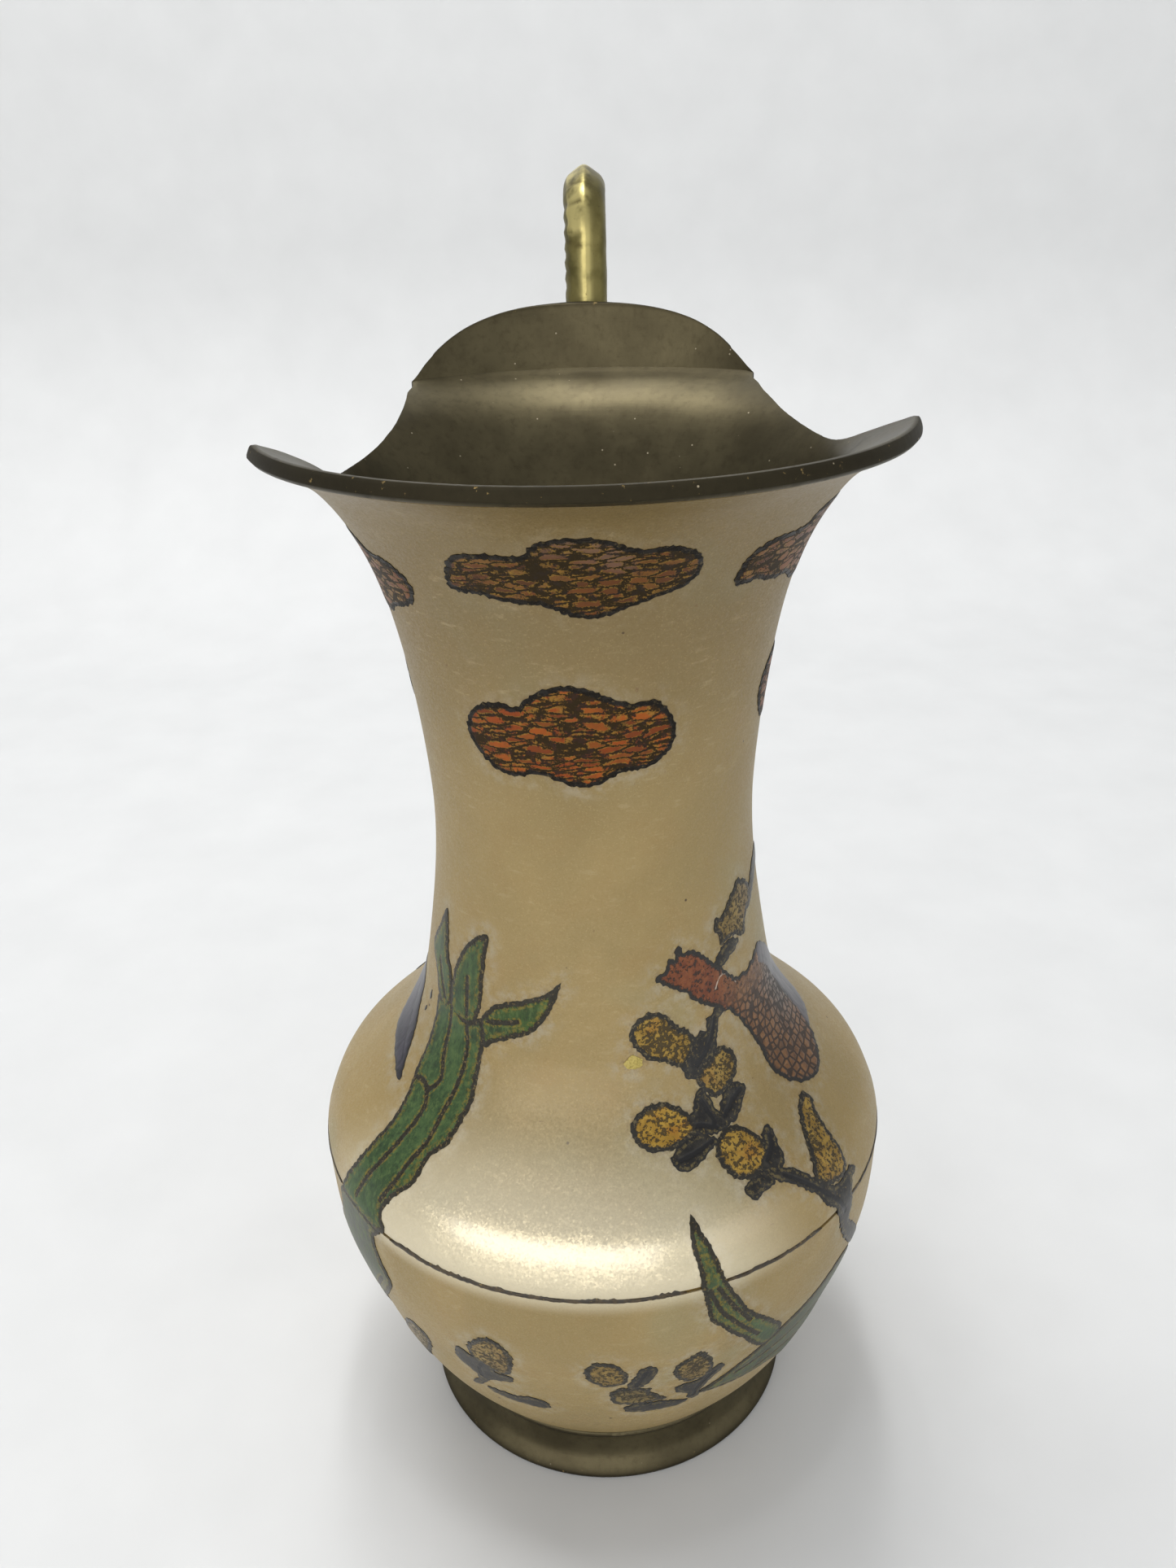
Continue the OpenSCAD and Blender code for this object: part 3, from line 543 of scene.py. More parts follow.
class Look:
    """A material and short calls that add nodes to it. Colours are given as 0 to 255."""

    def __init__(self, name):
        self.material = bpy.data.materials.new(name)
        self.material.use_nodes = True
        self.tree = self.material.node_tree
        self.shader = self.tree.nodes["Principled BSDF"]
        self.where = self.add("TexCoord", "Object")

    def link(self, value, socket):
        if isinstance(value, Value):
            self.tree.links.new(value.socket, socket)
        elif socket.type == "RGBA":
            socket.default_value = lin(*value)
        else:
            socket.default_value = value

    def add(self, kind, output, inputs=None, **settings):
        """A new node of this kind, as the value of one of its outputs."""
        node = self.tree.nodes.new("ShaderNode" + kind)
        for key, value in settings.items():
            setattr(node, key, value)
        for key, value in (inputs or {}).items():
            self.link(value, node.inputs[key])
        return Value(self, node.outputs[output])

    def attribute(self, name, output="Fac"):
        return self.add("Attribute", output, attribute_name=name)

    def math(self, operation, a, b):
        return self.add("Math", 0, {0: a, 1: b}, operation=operation)

    def most(self, a, b):
        return self.math("MAXIMUM", a, b)

    def least(self, a, b):
        return self.math("MINIMUM", a, b)

    def vector(self, operation, a, b=(0, 0, 0)):
        return self.add("VectorMath", 0, {0: a, 1: b}, operation=operation)

    def split(self, vector, axis):
        return self.add("SeparateXYZ", axis, {0: vector})

    def scaled(self, size_mm, where, stretch):
        """Places in units of size_mm; where is in millimetres if given, else on the object."""
        k = 1 / (size_mm * (MM if where is None else 1.0))
        return self.vector("MULTIPLY", self.where if where is None else where,
                           tuple(k * axis for axis in stretch))

    def noise(self, size_mm, detail=3.0, rough=0.55, where=None, stretch=(1, 1, 1), warp=0.0,
              shift=0.0):
        """Noise with features about size_mm across, from 0 to 1."""
        at = self.vector("ADD", self.scaled(size_mm, where, stretch),
                         (shift, shift * 0.7, shift * 1.3))
        return self.add("TexNoise", "Fac", {"Scale": 1.0, "Detail": detail, "Roughness": rough,
                                            "Distortion": warp, "Vector": at})

    def cells(self, size_mm, feature="F1", output="Distance", where=None, stretch=(1, 1, 1),
              jitter=1.0, wobble=None):
        """Irregular cells about size_mm across."""
        at = self.scaled(size_mm, where, stretch)
        if wobble is not None:
            at = self.vector("ADD", at, wobble)
        return self.add("TexVoronoi", output, {"Scale": 1.0, "Randomness": jitter, "Vector": at},
                        feature=feature)

    def step(self, value, low, high):
        """0 below low and 1 above high, smoothly, and the other way round if low > high."""
        rises = float(low < high)
        return self.add("MapRange", "Result",
                        {"From Min": min(low, high), "From Max": max(low, high),
                         "To Min": 1.0 - rises, "To Max": rises, "Value": value},
                        interpolation_type="SMOOTHSTEP")

    def mix(self, share, a, b, kind="RGBA"):
        return self.add("Mix", "Result", {"Factor": share, "A": a, "B": b}, data_type=kind)

    def blend(self, share, a, b):
        return self.mix(share, a, b, "FLOAT")

    def ramp(self, value, stops):
        ramp = self.add("ValToRGB", "Color", {"Fac": value})
        line = ramp.socket.node.color_ramp
        while len(line.elements) < len(stops):
            line.elements.new(0.5)
        for element, (at, colour) in zip(line.elements, stops):
            element.position = at
            element.color = lin(*colour)
        return ramp

    def bump(self, height, depth_mm, strength=1.0, onto=None):
        inputs = {"Strength": strength, "Distance": depth_mm * MM, "Height": height}
        if onto is not None:
            inputs["Normal"] = onto
        return self.add("Bump", "Normal", inputs)

    def set(self, **values):
        names = {"colour": "Base Color", "metal": "Metallic", "rough": "Roughness",
                 "normal": "Normal", "coat": "Coat Weight", "coat_rough": "Coat Roughness",
                 "specular": "Specular IOR Level", "coat_ior": "Coat IOR"}
        for key, value in values.items():
            self.link(value, self.shader.inputs[names[key]])
        return self.material


# ---- Materials -------------------------------------------------------------------------------


def cream_look():
    """Cream pearl lacquer: soft blotches, metal glitter, grime near the motifs, small specks,
    painted shade under the rim and a painted highlight on the polished front of the belly.
    """
    n = Look("cream_pearl_lacquer")
    wide = n.noise(38, 3, 0.55, warp=0.6)
    mid = n.noise(9, 4, 0.6, shift=4.0)
    colour = n.mix(n.step(wide, 0.3, 0.7), (140, 121, 76), (151, 130, 83))
    colour = n.mix(n.step(mid, 0.45, 0.75) * 0.35, colour, (145, 119, 71))
    cool = n.step(n.noise(30, 2, 0.5, shift=9.0), 0.56, 0.72)
    colour = n.mix(cool * 0.45, colour, (142, 134, 98))
    # painted shade of the rim: the cream turns darker amber towards the top of the neck
    amber = n.step(n.split(n.where, 2), 0.165, 0.235)
    colour = n.mix(amber * 0.7, colour, (102, 85, 50))
    # grime and thin grey paint around the motifs
    halo = n.attribute("halo_mm")
    smear = n.step(halo, 5.0, 0.5) * n.step(n.noise(3.0, 4, 0.65, shift=2.0), 0.4, 0.68)
    # the grey smear is fainter within the painted shade under the rim
    colour = n.mix(smear * n.blend(amber, 0.55, 0.12), colour, (166, 159, 140))
    streak = n.noise(5.0, 4, 0.65, stretch=(1.0, 1.0, 3.5), shift=17.0)
    rubs = n.step(streak, 0.56, 0.7) * n.step(wide, 0.4, 0.62)
    colour = n.mix(rubs * 0.3, colour, (176, 160, 122))
    stain = n.step(halo, 1.6, 0.1) * n.step(n.noise(0.9, 3, 0.6, shift=6.0), 0.46, 0.62)
    colour = n.mix(stain * 0.6, colour, (120, 100, 68))
    # dark specks and pits
    spot = n.cells(6.5)
    some = n.step(n.split(n.cells(6.5, output="Color"), 0), 0.76, 0.78)
    pit = n.step(spot, 0.065, 0.035) * some
    colour = n.mix(pit, colour, (70, 52, 30))
    crumb = n.step(n.noise(1.6, 2, 0.5, shift=12.0), 0.735, 0.76)
    crumb = crumb * n.step(n.noise(25, 2, 0.5, shift=14.0), 0.5, 0.62)
    colour = n.mix(crumb * 0.7, colour, (112, 86, 52))
    # pearl glitter: tiny cells that each lean their own way and shine a little differently
    lean = n.vector("SUBTRACT", n.cells(0.42, output="Color"), (0.5, 0.5, 0.5))
    lean = n.vector("MULTIPLY", lean, (0.17, 0.17, 0.17))
    normal = n.vector("NORMALIZE", n.vector("ADD", n.add("NewGeometry", "Normal"), lean))
    wave = n.noise(14, 2, 0.5, shift=1.0) * 3.0 + n.noise(1.8, 3, 0.6, shift=3.0)
    normal = n.bump(wave, 0.15, 0.65, onto=normal)
    grain = n.split(n.cells(0.26, output="Color"), 1)
    # the widest part of the body is polished at its front, a little to the left, where it faces the
    # front lamp; there the cream is also paled as a painted highlight
    level = n.split(n.where, 2)
    front = n.split(n.where, 0) * -0.26 + n.split(n.where, 1) * -0.97
    polish_and_painted_highlight = n.step(level, 0.08, 0.087) * n.step(level, 0.126, 0.096)
    polish_and_painted_highlight = polish_and_painted_highlight * n.step(front, 0.036, 0.066)
    rough = grain * 0.06 + n.blend(polish_and_painted_highlight, 0.44, 0.22) + polish_and_painted_highlight * streak * 0.16 + smear * 0.15
    metal = n.step(grain, 0.2, 0.9) * 0.22 + n.blend(polish_and_painted_highlight, 0.1, 0.56)
    # painted highlight: the polished front band is paled towards near white
    colour = n.mix(polish_and_painted_highlight * 0.7, colour, (232, 220, 186))
    colour = n.mix(n.step(grain, 0.85, 1.0) * 0.1, colour, (226, 206, 158))
    return n.set(colour=colour, metal=metal, rough=rough, normal=normal,
                 coat=n.blend(polish_and_painted_highlight, 0.03, 0.60), coat_rough=0.22, coat_ior=2.5)


def outline_share(n, width, ragged, rim=None):
    """How black the ragged border of a motif is at a point."""
    rim = rim if rim is not None else n.attribute("rim_mm")
    tooth = (n.noise(1.1, 4, 0.7) - 0.5) * (ragged * 2.4)
    return n.step(rim + tooth, width + 0.25, width - 0.15)


def cloud_look():
    """Burnt orange lozenges in wavy rows, with black and gold lines and stipple between them."""
    n = Look("cloud_lacquer")
    sheet = n.attribute("sheet", "Vector")
    tone = n.split(sheet, 2)
    flat = n.vector("MULTIPLY", sheet, (1, 1, 0))
    bend = n.noise(13, 2, 0.5, where=flat)
    fray = n.noise(1.0, 3, 0.7, where=flat, shift=5.0)
    wobble = n.add("CombineXYZ", 0, {0: (fray - 0.5) * 0.9,
                                     1: (bend - 0.5) * 2.0 + (fray - 0.5) * 0.75})
    stretch = (0.36, 1.22, 0.0)
    gap = n.cells(1.75, "DISTANCE_TO_EDGE", "Distance", flat, stretch, 0.72, wobble)
    own = n.split(n.cells(1.75, "F1", "Color", flat, stretch, 0.72, wobble), 0)
    orange = n.ramp(own, [(0.0, (104, 48, 10)), (0.35, (134, 60, 12)), (0.7, (148, 76, 18)),
                          (1.0, (112, 60, 16))])
    muted = n.ramp(own, [(0.0, (76, 44, 18)), (0.5, (98, 56, 20)), (1.0, (112, 78, 32))])
    colour = n.mix(tone, muted, orange)
    mottled = n.noise(2.6, 4, 0.65, where=flat, shift=3.0)
    colour = n.mix(n.step(mottled, 0.45, 0.75) * 0.45, colour, (72, 44, 20))
    pale = n.step(n.noise(18, 2, 0.5, where=flat, shift=8.0), 0.56, 0.7) * (1.15 - tone)
    colour = n.mix(pale * 0.5, colour, (110, 88, 74))
    bright = n.step(n.noise(1.5, 2, 0.6, where=flat, shift=2.0), 0.38, 0.50)
    gold_line = n.step(gap, 0.2, 0.13) * bright
    colour = n.mix(gold_line * 0.75, colour, (146, 114, 50))
    speck = n.noise(0.55, 2, 0.6, where=flat, shift=7.0)
    cluster = n.noise(5.0, 2, 0.5, where=flat, shift=11.0)
    line = n.step(gap + (speck - 0.5) * 0.3, 0.15, 0.07)
    dots = n.step(speck, 0.48, 0.55) * n.step(cluster, 0.55, 0.68)
    stipple = n.most(line, dots * n.step(gap, 0.45, 0.2))
    colour = n.mix(stipple * 0.92, colour, (24, 20, 12))
    black = outline_share(n, 1.0, 0.7)
    scuff = black * n.step(n.noise(0.8, 3, 0.6, shift=13.0), 0.58, 0.68)
    colour = n.mix(black, colour, (27, 23, 18))
    colour = n.mix(scuff * 0.6, colour, (92, 80, 52))
    height = mottled - stipple * 0.7 - black * 0.8
    rough = stipple * 0.2 + 0.42
    return n.set(colour=colour, rough=rough, metal=gold_line * 0.5,
                 normal=n.bump(height, 0.16, 0.8), coat=0.04, coat_rough=0.3, specular=0.2)


def reed_look():
    """Leaf green lacquer, bluer and paler on the older stems, with black lines edged in gold."""
    n = Look("reed_lacquer")
    sheet = n.attribute("sheet", "Vector")
    tone = n.split(sheet, 2)
    cloudy = n.noise(7, 4, 0.6)
    fine = n.noise(1.3, 4, 0.7, stretch=(1.0, 1.0, 0.45), shift=3.0)
    leaf = n.mix(n.step(cloudy, 0.35, 0.65), (28, 50, 11), (50, 76, 20))
    stem = n.mix(n.step(cloudy, 0.35, 0.65), (34, 58, 24), (56, 80, 40))
    grey = n.mix(n.step(cloudy, 0.35, 0.65), (52, 58, 42), (74, 79, 60))
    colour = n.mix(n.step(tone, 0.5, 1.0), n.mix(n.step(tone, 0.0, 0.5), grey, stem), leaf)
    colour = n.mix(n.step(fine, 0.48, 0.66) * 0.6, colour, (82, 102, 52))
    colour = n.mix(n.step(fine, 0.48, 0.34) * 0.65, colour, (20, 34, 12))
    rim = n.attribute("rim_mm")
    vein = n.attribute("vein_mm")
    tooth = (n.noise(1.2, 4, 0.65) - 0.5) * 1.1
    line_at = vein + tooth
    gold = n.most(n.step(line_at, 1.35, 0.9) * 0.95, n.step(rim + tooth, 2.5, 1.7) * 0.75)
    gold = gold * n.step(n.noise(0.8, 3, 0.6, shift=8.0), 0.42, 0.6)
    colour = n.mix(gold * 0.8, colour, (128, 110, 42))
    black = n.most(n.step(line_at, 0.74, 0.44), outline_share(n, 1.05, 0.95, rim))
    colour = n.mix(black, colour, (36, 32, 20))
    flake = black * n.step(n.noise(0.7, 3, 0.6, shift=5.0), 0.58, 0.66)
    colour = n.mix(flake * 0.6, colour, (124, 104, 60))
    height = fine - black
    return n.set(colour=colour, rough=fine * 0.2 + 0.34, metal=gold * 0.4,
                 normal=n.bump(height, 0.14, 0.7), coat=0.1, coat_rough=0.25, specular=0.35)


def bud_look():
    """Golden ochre with dense engraved black specks and a thick ragged border."""
    n = Look("bud_lacquer")
    tone = n.split(n.attribute("sheet", "Vector"), 2)
    soft = n.noise(3.4, 3, 0.6)
    dull = n.mix(n.step(soft, 0.35, 0.65), (92, 76, 36), (118, 100, 52))
    rich = n.mix(n.step(soft, 0.35, 0.65), (146, 112, 34), (172, 138, 54))
    colour = n.mix(n.least(tone, 1.0), dull, rich)
    amber = n.step(n.noise(5, 2, 0.5, shift=3.0), 0.58, 0.72) * tone
    colour = n.mix(amber * 0.4, colour, (158, 96, 26))
    speck = n.noise(0.85, 3, 0.65, shift=7.0)
    thick = n.noise(5, 2, 0.5, shift=9.0)
    dark = n.step(speck + (thick - 0.5) * 0.35, 0.485, 0.545)
    colour = n.mix(dark * 0.85, colour, (34, 29, 16))
    chip = n.step(tone, 1.2, 1.4)
    colour = n.mix(chip, colour, (176, 158, 84))
    black = outline_share(n, 1.05, 1.0) * (1.0 - chip)
    colour = n.mix(black, colour, (34, 31, 24))
    scuff = black * n.step(n.noise(0.7, 3, 0.6, shift=4.0), 0.55, 0.64)
    colour = n.mix(scuff * 0.6, colour, (112, 100, 70))
    height = soft - n.most(dark, black)
    return n.set(colour=colour, rough=dark * 0.2 + 0.34, metal=0.1,
                 normal=n.bump(height, 0.16, 0.8), coat=0.08, coat_rough=0.3, specular=0.35)


def leaflet_look():
    """Slate black lacquer with olive rubbed edges."""
    n = Look("dark_leaflet_lacquer")
    soft = n.noise(2.4, 4, 0.65)
    colour = n.mix(n.step(soft, 0.42, 0.68), (20, 18, 16), (48, 45, 38))
    rim = n.attribute("rim_mm")
    vein = n.attribute("vein_mm")
    ring = n.step(rim, 1.3, 0.9) * n.step(n.noise(0.9, 3, 0.6), 0.48, 0.6)
    colour = n.mix(ring * 0.65, colour, (104, 92, 56))
    core = n.step(vein + soft * 0.6, 1.1, 0.6)
    gold = n.step(n.noise(0.8, 3, 0.7, shift=9.0), 0.60, 0.68)
    colour = n.mix(gold * 0.6, colour, (118, 98, 48))
    colour = n.mix(core, colour, (16, 15, 16))
    colour = n.mix(outline_share(n, 0.35, 0.5), colour, (28, 27, 25))
    height = soft - core
    return n.set(colour=colour, rough=soft * 0.2 + 0.3, metal=0.05,
                 normal=n.bump(height, 0.14, 0.7), coat=0.1, coat_rough=0.25, specular=0.35)


def bird_look():
    """Brick red head and neck, brown scaled breast and a grey streaked back."""
    n = Look("bird_lacquer")
    sheet = n.attribute("sheet", "Vector")
    across = n.split(sheet, 0)
    height_up = n.attribute("level_mm")
    soft = n.noise(2.2, 4, 0.65)
    red = n.mix(n.step(soft, 0.35, 0.65), (98, 48, 22), (122, 68, 34))
    brown = n.mix(n.step(soft, 0.35, 0.65), (98, 64, 34), (128, 90, 52))
    grey = n.mix(n.step(soft, 0.35, 0.65), (88, 76, 66), (118, 104, 92))
    back = n.attribute("back_share")
    upper = n.step(back, 0.7, 0.98) * n.step(height_up, 112, 122)
    colour = n.mix(n.step(back, 0.18, 0.55), red, n.mix(upper, brown, grey))
    flat = n.vector("MULTIPLY", sheet, (1, 1, 0))
    scale_gap = n.cells(1.9, "DISTANCE_TO_EDGE", "Distance", flat, (1.0, 1.0, 0.0), 0.55)
    low = n.step(height_up, 136, 128) * n.step(across, -40, -34)
    scales = n.step(scale_gap, 0.2, 0.08) * low
    streak = n.noise(1.0, 3, 0.6, where=flat, stretch=(1.0, 0.22, 0.0), shift=2.0)
    streaks = n.step(streak, 0.54, 0.64) * (n.step(height_up, 114, 122) * n.step(back, 0.45, 0.75))
    fleck = n.step(n.noise(0.95, 3, 0.65, shift=6.0), 0.535, 0.6) * (1.0 - low * 0.6)
    dark = n.most(n.most(scales, streaks * 0.7), fleck)
    colour = n.mix(dark * 0.88, colour, (38, 31, 26))
    scratch = n.step(n.attribute("vein_mm") + (soft - 0.5) * 0.9, 0.24, 0.1)
    colour = n.mix(scratch * 0.9, colour, (186, 168, 150))
    black = outline_share(n, 0.85, 1.0)
    colour = n.mix(black, colour, (34, 31, 27))
    height = soft - n.most(dark, black)
    return n.set(colour=colour, rough=dark * 0.2 + 0.34, normal=n.bump(height, 0.15, 0.8),
                 coat=0.08, coat_rough=0.3, specular=0.35)


def violet_look():
    """Violet black lacquer that is rubbed grey along its streaks."""
    n = Look("violet_lacquer")
    sheet = n.attribute("sheet", "Vector")
    tone = n.split(sheet, 2)
    flat = n.vector("MULTIPLY", sheet, (1, 1, 0))
    streak = n.noise(1.3, 4, 0.6, where=flat, stretch=(1.0, 0.2, 0.0))
    dark = n.mix(n.step(streak, 0.4, 0.65), (26, 24, 34), (50, 47, 60))
    grey = n.mix(n.step(streak, 0.4, 0.65), (46, 43, 50), (84, 78, 80))
    colour = n.mix(tone, dark, grey)
    line = n.step(n.attribute("vein_mm") + streak * 0.4, 0.7, 0.4)
    colour = n.mix(line * 0.8, colour, (26, 25, 32))
    colour = n.mix(outline_share(n, 0.5, 0.5), colour, (28, 26, 26))
    return n.set(colour=colour, rough=streak * 0.2 + 0.24, normal=n.bump(streak, 0.12, 0.6),
                 coat=0.15, coat_rough=0.2, specular=0.4)


def line_look():
    """Black wax in the groove round the belly, flecked with brass."""
    n = Look("belly_line_filling")
    soft = n.noise(1.6, 4, 0.65)
    colour = n.mix(n.step(soft, 0.4, 0.65), (40, 32, 18), (70, 56, 32))
    fleck = n.step(n.noise(0.7, 3, 0.6, shift=5.0), 0.63, 0.70)
    colour = n.mix(fleck * 0.6, colour, (140, 118, 66))
    return n.set(colour=colour, rough=soft * 0.3 + 0.35, metal=0.1, normal=n.bump(soft, 0.2, 0.8),
                 coat=0.1, coat_rough=0.3)


def patina_look(name, dust=1.0):
    """Brown-black patinated brass: turning marks, dust, and bare metal where it is rubbed."""
    n = Look(name)
    wide = n.noise(22, 4, 0.6)
    fine = n.noise(2.0, 5, 0.7, shift=3.0)
    colour = n.mix(n.step(wide, 0.3, 0.7), (68, 62, 45), (88, 81, 60))
    colour = n.mix(n.step(fine, 0.45, 0.75) * 0.4, colour, (52, 45, 31))
    # fine lines of the lathe run round the axis
    turned_marks = n.noise(0.5, 4, 0.6, stretch=(0.02, 0.02, 1.0), shift=8.0)
    brushed = n.noise(1.0, 3, 0.6, stretch=(1.0, 1.0, 0.05), shift=5.0)
    # darker where the wear attribute is set, along the cut edges of the mouth and at the lower and
    # upper edges of the foot, with chips of bright metal there
    worn = n.attribute("wear")
    colour = n.mix(worn * 0.75, colour, (38, 34, 25))
    chip = worn * n.step(n.noise(1.6, 4, 0.65, shift=11.0), 0.64, 0.72)
    colour = n.mix(chip, colour, (150, 128, 84))
    mote = n.cells(2.6)
    some = n.step(n.split(n.cells(2.6, output="Color"), 0), 0.70, 0.72)
    mote = n.step(mote, 0.1, 0.05) * some * dust
    colour = n.mix(mote * 0.8, colour, (170, 158, 132))
    rough = wide * 0.16 + 0.27 + brushed * 0.1 + (mote + worn) * 0.25
    height = turned_marks * 0.5 + (brushed * 0.35 + fine * 0.5)
    metal = 0.92 - mote * 0.8
    return n.set(colour=colour, metal=metal, rough=rough, normal=n.bump(height, 0.045, 0.6))


def handle_look():
    """Olive tarnished brass, rubbed bright along the ridge; the hammered left facets over the top
    are lightened as a painted highlight.
    """
    n = Look("tarnished_handle_brass")
    wide = n.noise(9, 4, 0.6)
    fine = n.noise(1.1, 4, 0.7, shift=3.0)
    colour = n.mix(n.step(wide, 0.3, 0.7), (84, 78, 45), (106, 98, 57))
    colour = n.mix(n.step(fine, 0.5, 0.8) * 0.4, colour, (92, 80, 42))
    worn = n.attribute("wear")
    # bare brass rubbed bright along the ridge, and a painted highlight on the left facets over the
    # top
    bright = worn * 0.92 * n.step(n.noise(6.0, 3, 0.55, shift=7.0), 0.3, 0.56)
    colour = n.mix(bright, colour, (206, 192, 128))
    groove = n.attribute("groove")
    colour = n.mix(groove * 0.75, colour, (70, 58, 30))
    file_marks = n.noise(0.6, 3, 0.6, stretch=(0.12, 1.0, 1.0), shift=5.0)
    pits = n.step(n.noise(0.9, 3, 0.6, shift=12.0), 0.66, 0.74)
    colour = n.mix(pits * 0.6, colour, (74, 62, 34))
    rough = wide * 0.2 + 0.3 - bright * 0.08
    height = file_marks * 0.5 + (fine - pits * 0.8)
    return n.set(colour=colour, metal=0.95, rough=rough, normal=n.bump(height, 0.05, 0.6))


def inner_brass_look():
    """Dull raw casting inside the body: brown stains, sand-cast grain and turning marks."""
    n = Look("raw_inner_brass")
    wide = n.noise(16, 4, 0.6)
    grain = n.noise(1.0, 5, 0.7, shift=3.0)
    colour = n.mix(n.step(wide, 0.3, 0.7), (112, 92, 52), (150, 126, 76))
    colour = n.mix(n.step(grain, 0.5, 0.8) * 0.5, colour, (78, 60, 32))
    stain = n.step(n.noise(11, 3, 0.6, shift=9.0), 0.55, 0.70)
    colour = n.mix(stain * 0.5, colour, (62, 58, 40))
    rings = n.noise(0.9, 3, 0.6, stretch=(0.03, 0.03, 1.0), shift=5.0)
    height = grain + rings * 0.5
    return n.set(colour=colour, metal=0.9, rough=wide * 0.25 + 0.36,
                 normal=n.bump(height, 0.12, 0.8))


def braze_look():
    """Brazing metal: yellower than the castings, rippled, with burnt edges."""
    n = Look("brazing_metal")
    wide = n.noise(4, 4, 0.6)
    fine = n.noise(0.9, 4, 0.65, shift=3.0)
    colour = n.mix(n.step(wide, 0.3, 0.7), (140, 116, 62), (186, 160, 94))
    colour = n.mix(n.step(fine, 0.5, 0.8) * 0.5, colour, (84, 66, 36))
    height = wide + fine * 0.4
    return n.set(colour=colour, metal=0.95, rough=fine * 0.25 + 0.25,
                 normal=n.bump(height, 0.35, 0.7))


# ---- Mouth: the side scoops cut the flare, rim and hood --------------------------------------

RIGHT_EDGE = [(-13.5, 256.6), (-9.5, 254.3), (-4.5, 252), (2.5, 249.3), (10, 248.1), (20, 248.5),
    (30, 250.1), (38.5, 252.3), (46, 254.4), (51, 256), (55.3, 260.5), (59, 264.8), (63, 268.4),
    (68, 271.2), (73, 272)]
LEFT_EDGE = [(-23.5, 256.6), (-18.5, 254.3), (-15, 252.2), (-10, 249.6), (-4, 246.3), (3, 245.3),
    (14, 245.3), (23, 246.4), (31, 248.6), (38, 251.2), (46, 254.2), (51.5, 256), (55.6, 260.5),
    (59.5, 264.8), (63.5, 268.4), (68, 271.2), (73, 272)]
right_edge, left_edge = spline(RIGHT_EDGE, 8), spline(LEFT_EDGE, 8)


def edge_height(y, side):
    line = right_edge if side > 0 else left_edge
    return np.interp(y, line[:, 0], line[:, 1], left=300.0, right=HOOD_TOP)


def mouth_curves():
    """Outer and inner wall of the mouth, each as rows of [t, radius, height]: t is 0 at the
    neck, 1 at the rim and 2 at the top of the hood."""
    part = np.arange(NECK_I, RIM_I + 1)
    t = (part - NECK_I) / (RIM_I - NECK_I)
    skin, out = SKIN[part], NORMALS[part]
    cover = COAT * (1 - smoothstep((t - 0.93) / 0.05))
    outer = skin - out * cover[:, None]
    inner = skin - out * (COAT + WALL + (RIM_T - COAT - WALL) * t)[:, None]
    last = t > 0.94
    first_last = np.argmax(last)
    share = (t[last] - t[first_last]) / (1 - t[first_last])
    corner = np.array([CREASE_R, RIM_TOP])
    inner[last] = inner[first_last] + share[:, None] * (corner - inner[first_last])
    hood_t = np.linspace(1, 2, 21)[1:]
    up = np.interp(hood_t, [1, 1.17, 2], [0, 1, 2])
    hood_outer = [np.interp(up, [0, 1, 2], [RIM_R, RIM_R + 2, CREASE_R + HOOD_LEAN + RIM_T]),
                  np.interp(up, [0, 1, 2], [RIM_Z, RIM_TOP, HOOD_TOP])]
    hood_inner = [CREASE_R + HOOD_LEAN * (hood_t - 1),
                  RIM_TOP + (HOOD_TOP - RIM_TOP) * (hood_t - 1)]
    return [np.vstack([np.column_stack([t, wall]), np.column_stack([hood_t] + hood)])
            for wall, hood in ((outer, hood_outer), (inner, hood_inner))]


OUTER_WALL, INNER_WALL = mouth_curves()


def wall_at(wall, t):
    return np.stack([np.interp(t, wall[:, 0], wall[:, k]) for k in (1, 2)], -1)


def wall_end(wall, azimuth, bevel=0.0):
    """How far up the wall goes at an azimuth in radians; a bevel stops it lower at the sides."""
    side = math.cos(azimuth)
    t = np.linspace(0.4, 2, 1601)
    p = wall_at(wall, t)
    y = p[:, 0] * math.sin(azimuth)
    limit = 2.0 if p[0, 0] >= 0 and RIM_R * math.sin(azimuth) > 30 else 1.0
    drop = bevel * smoothstep((y + 14) / 14) * (0.12 + 0.88 * smoothstep(abs(side) * p[:, 0] / 34))
    above = p[:, 1] > edge_height(y, side) - drop - 1e-6
    first = t[np.argmax(above)] if above.any() else 2.0
    return min(first, limit)


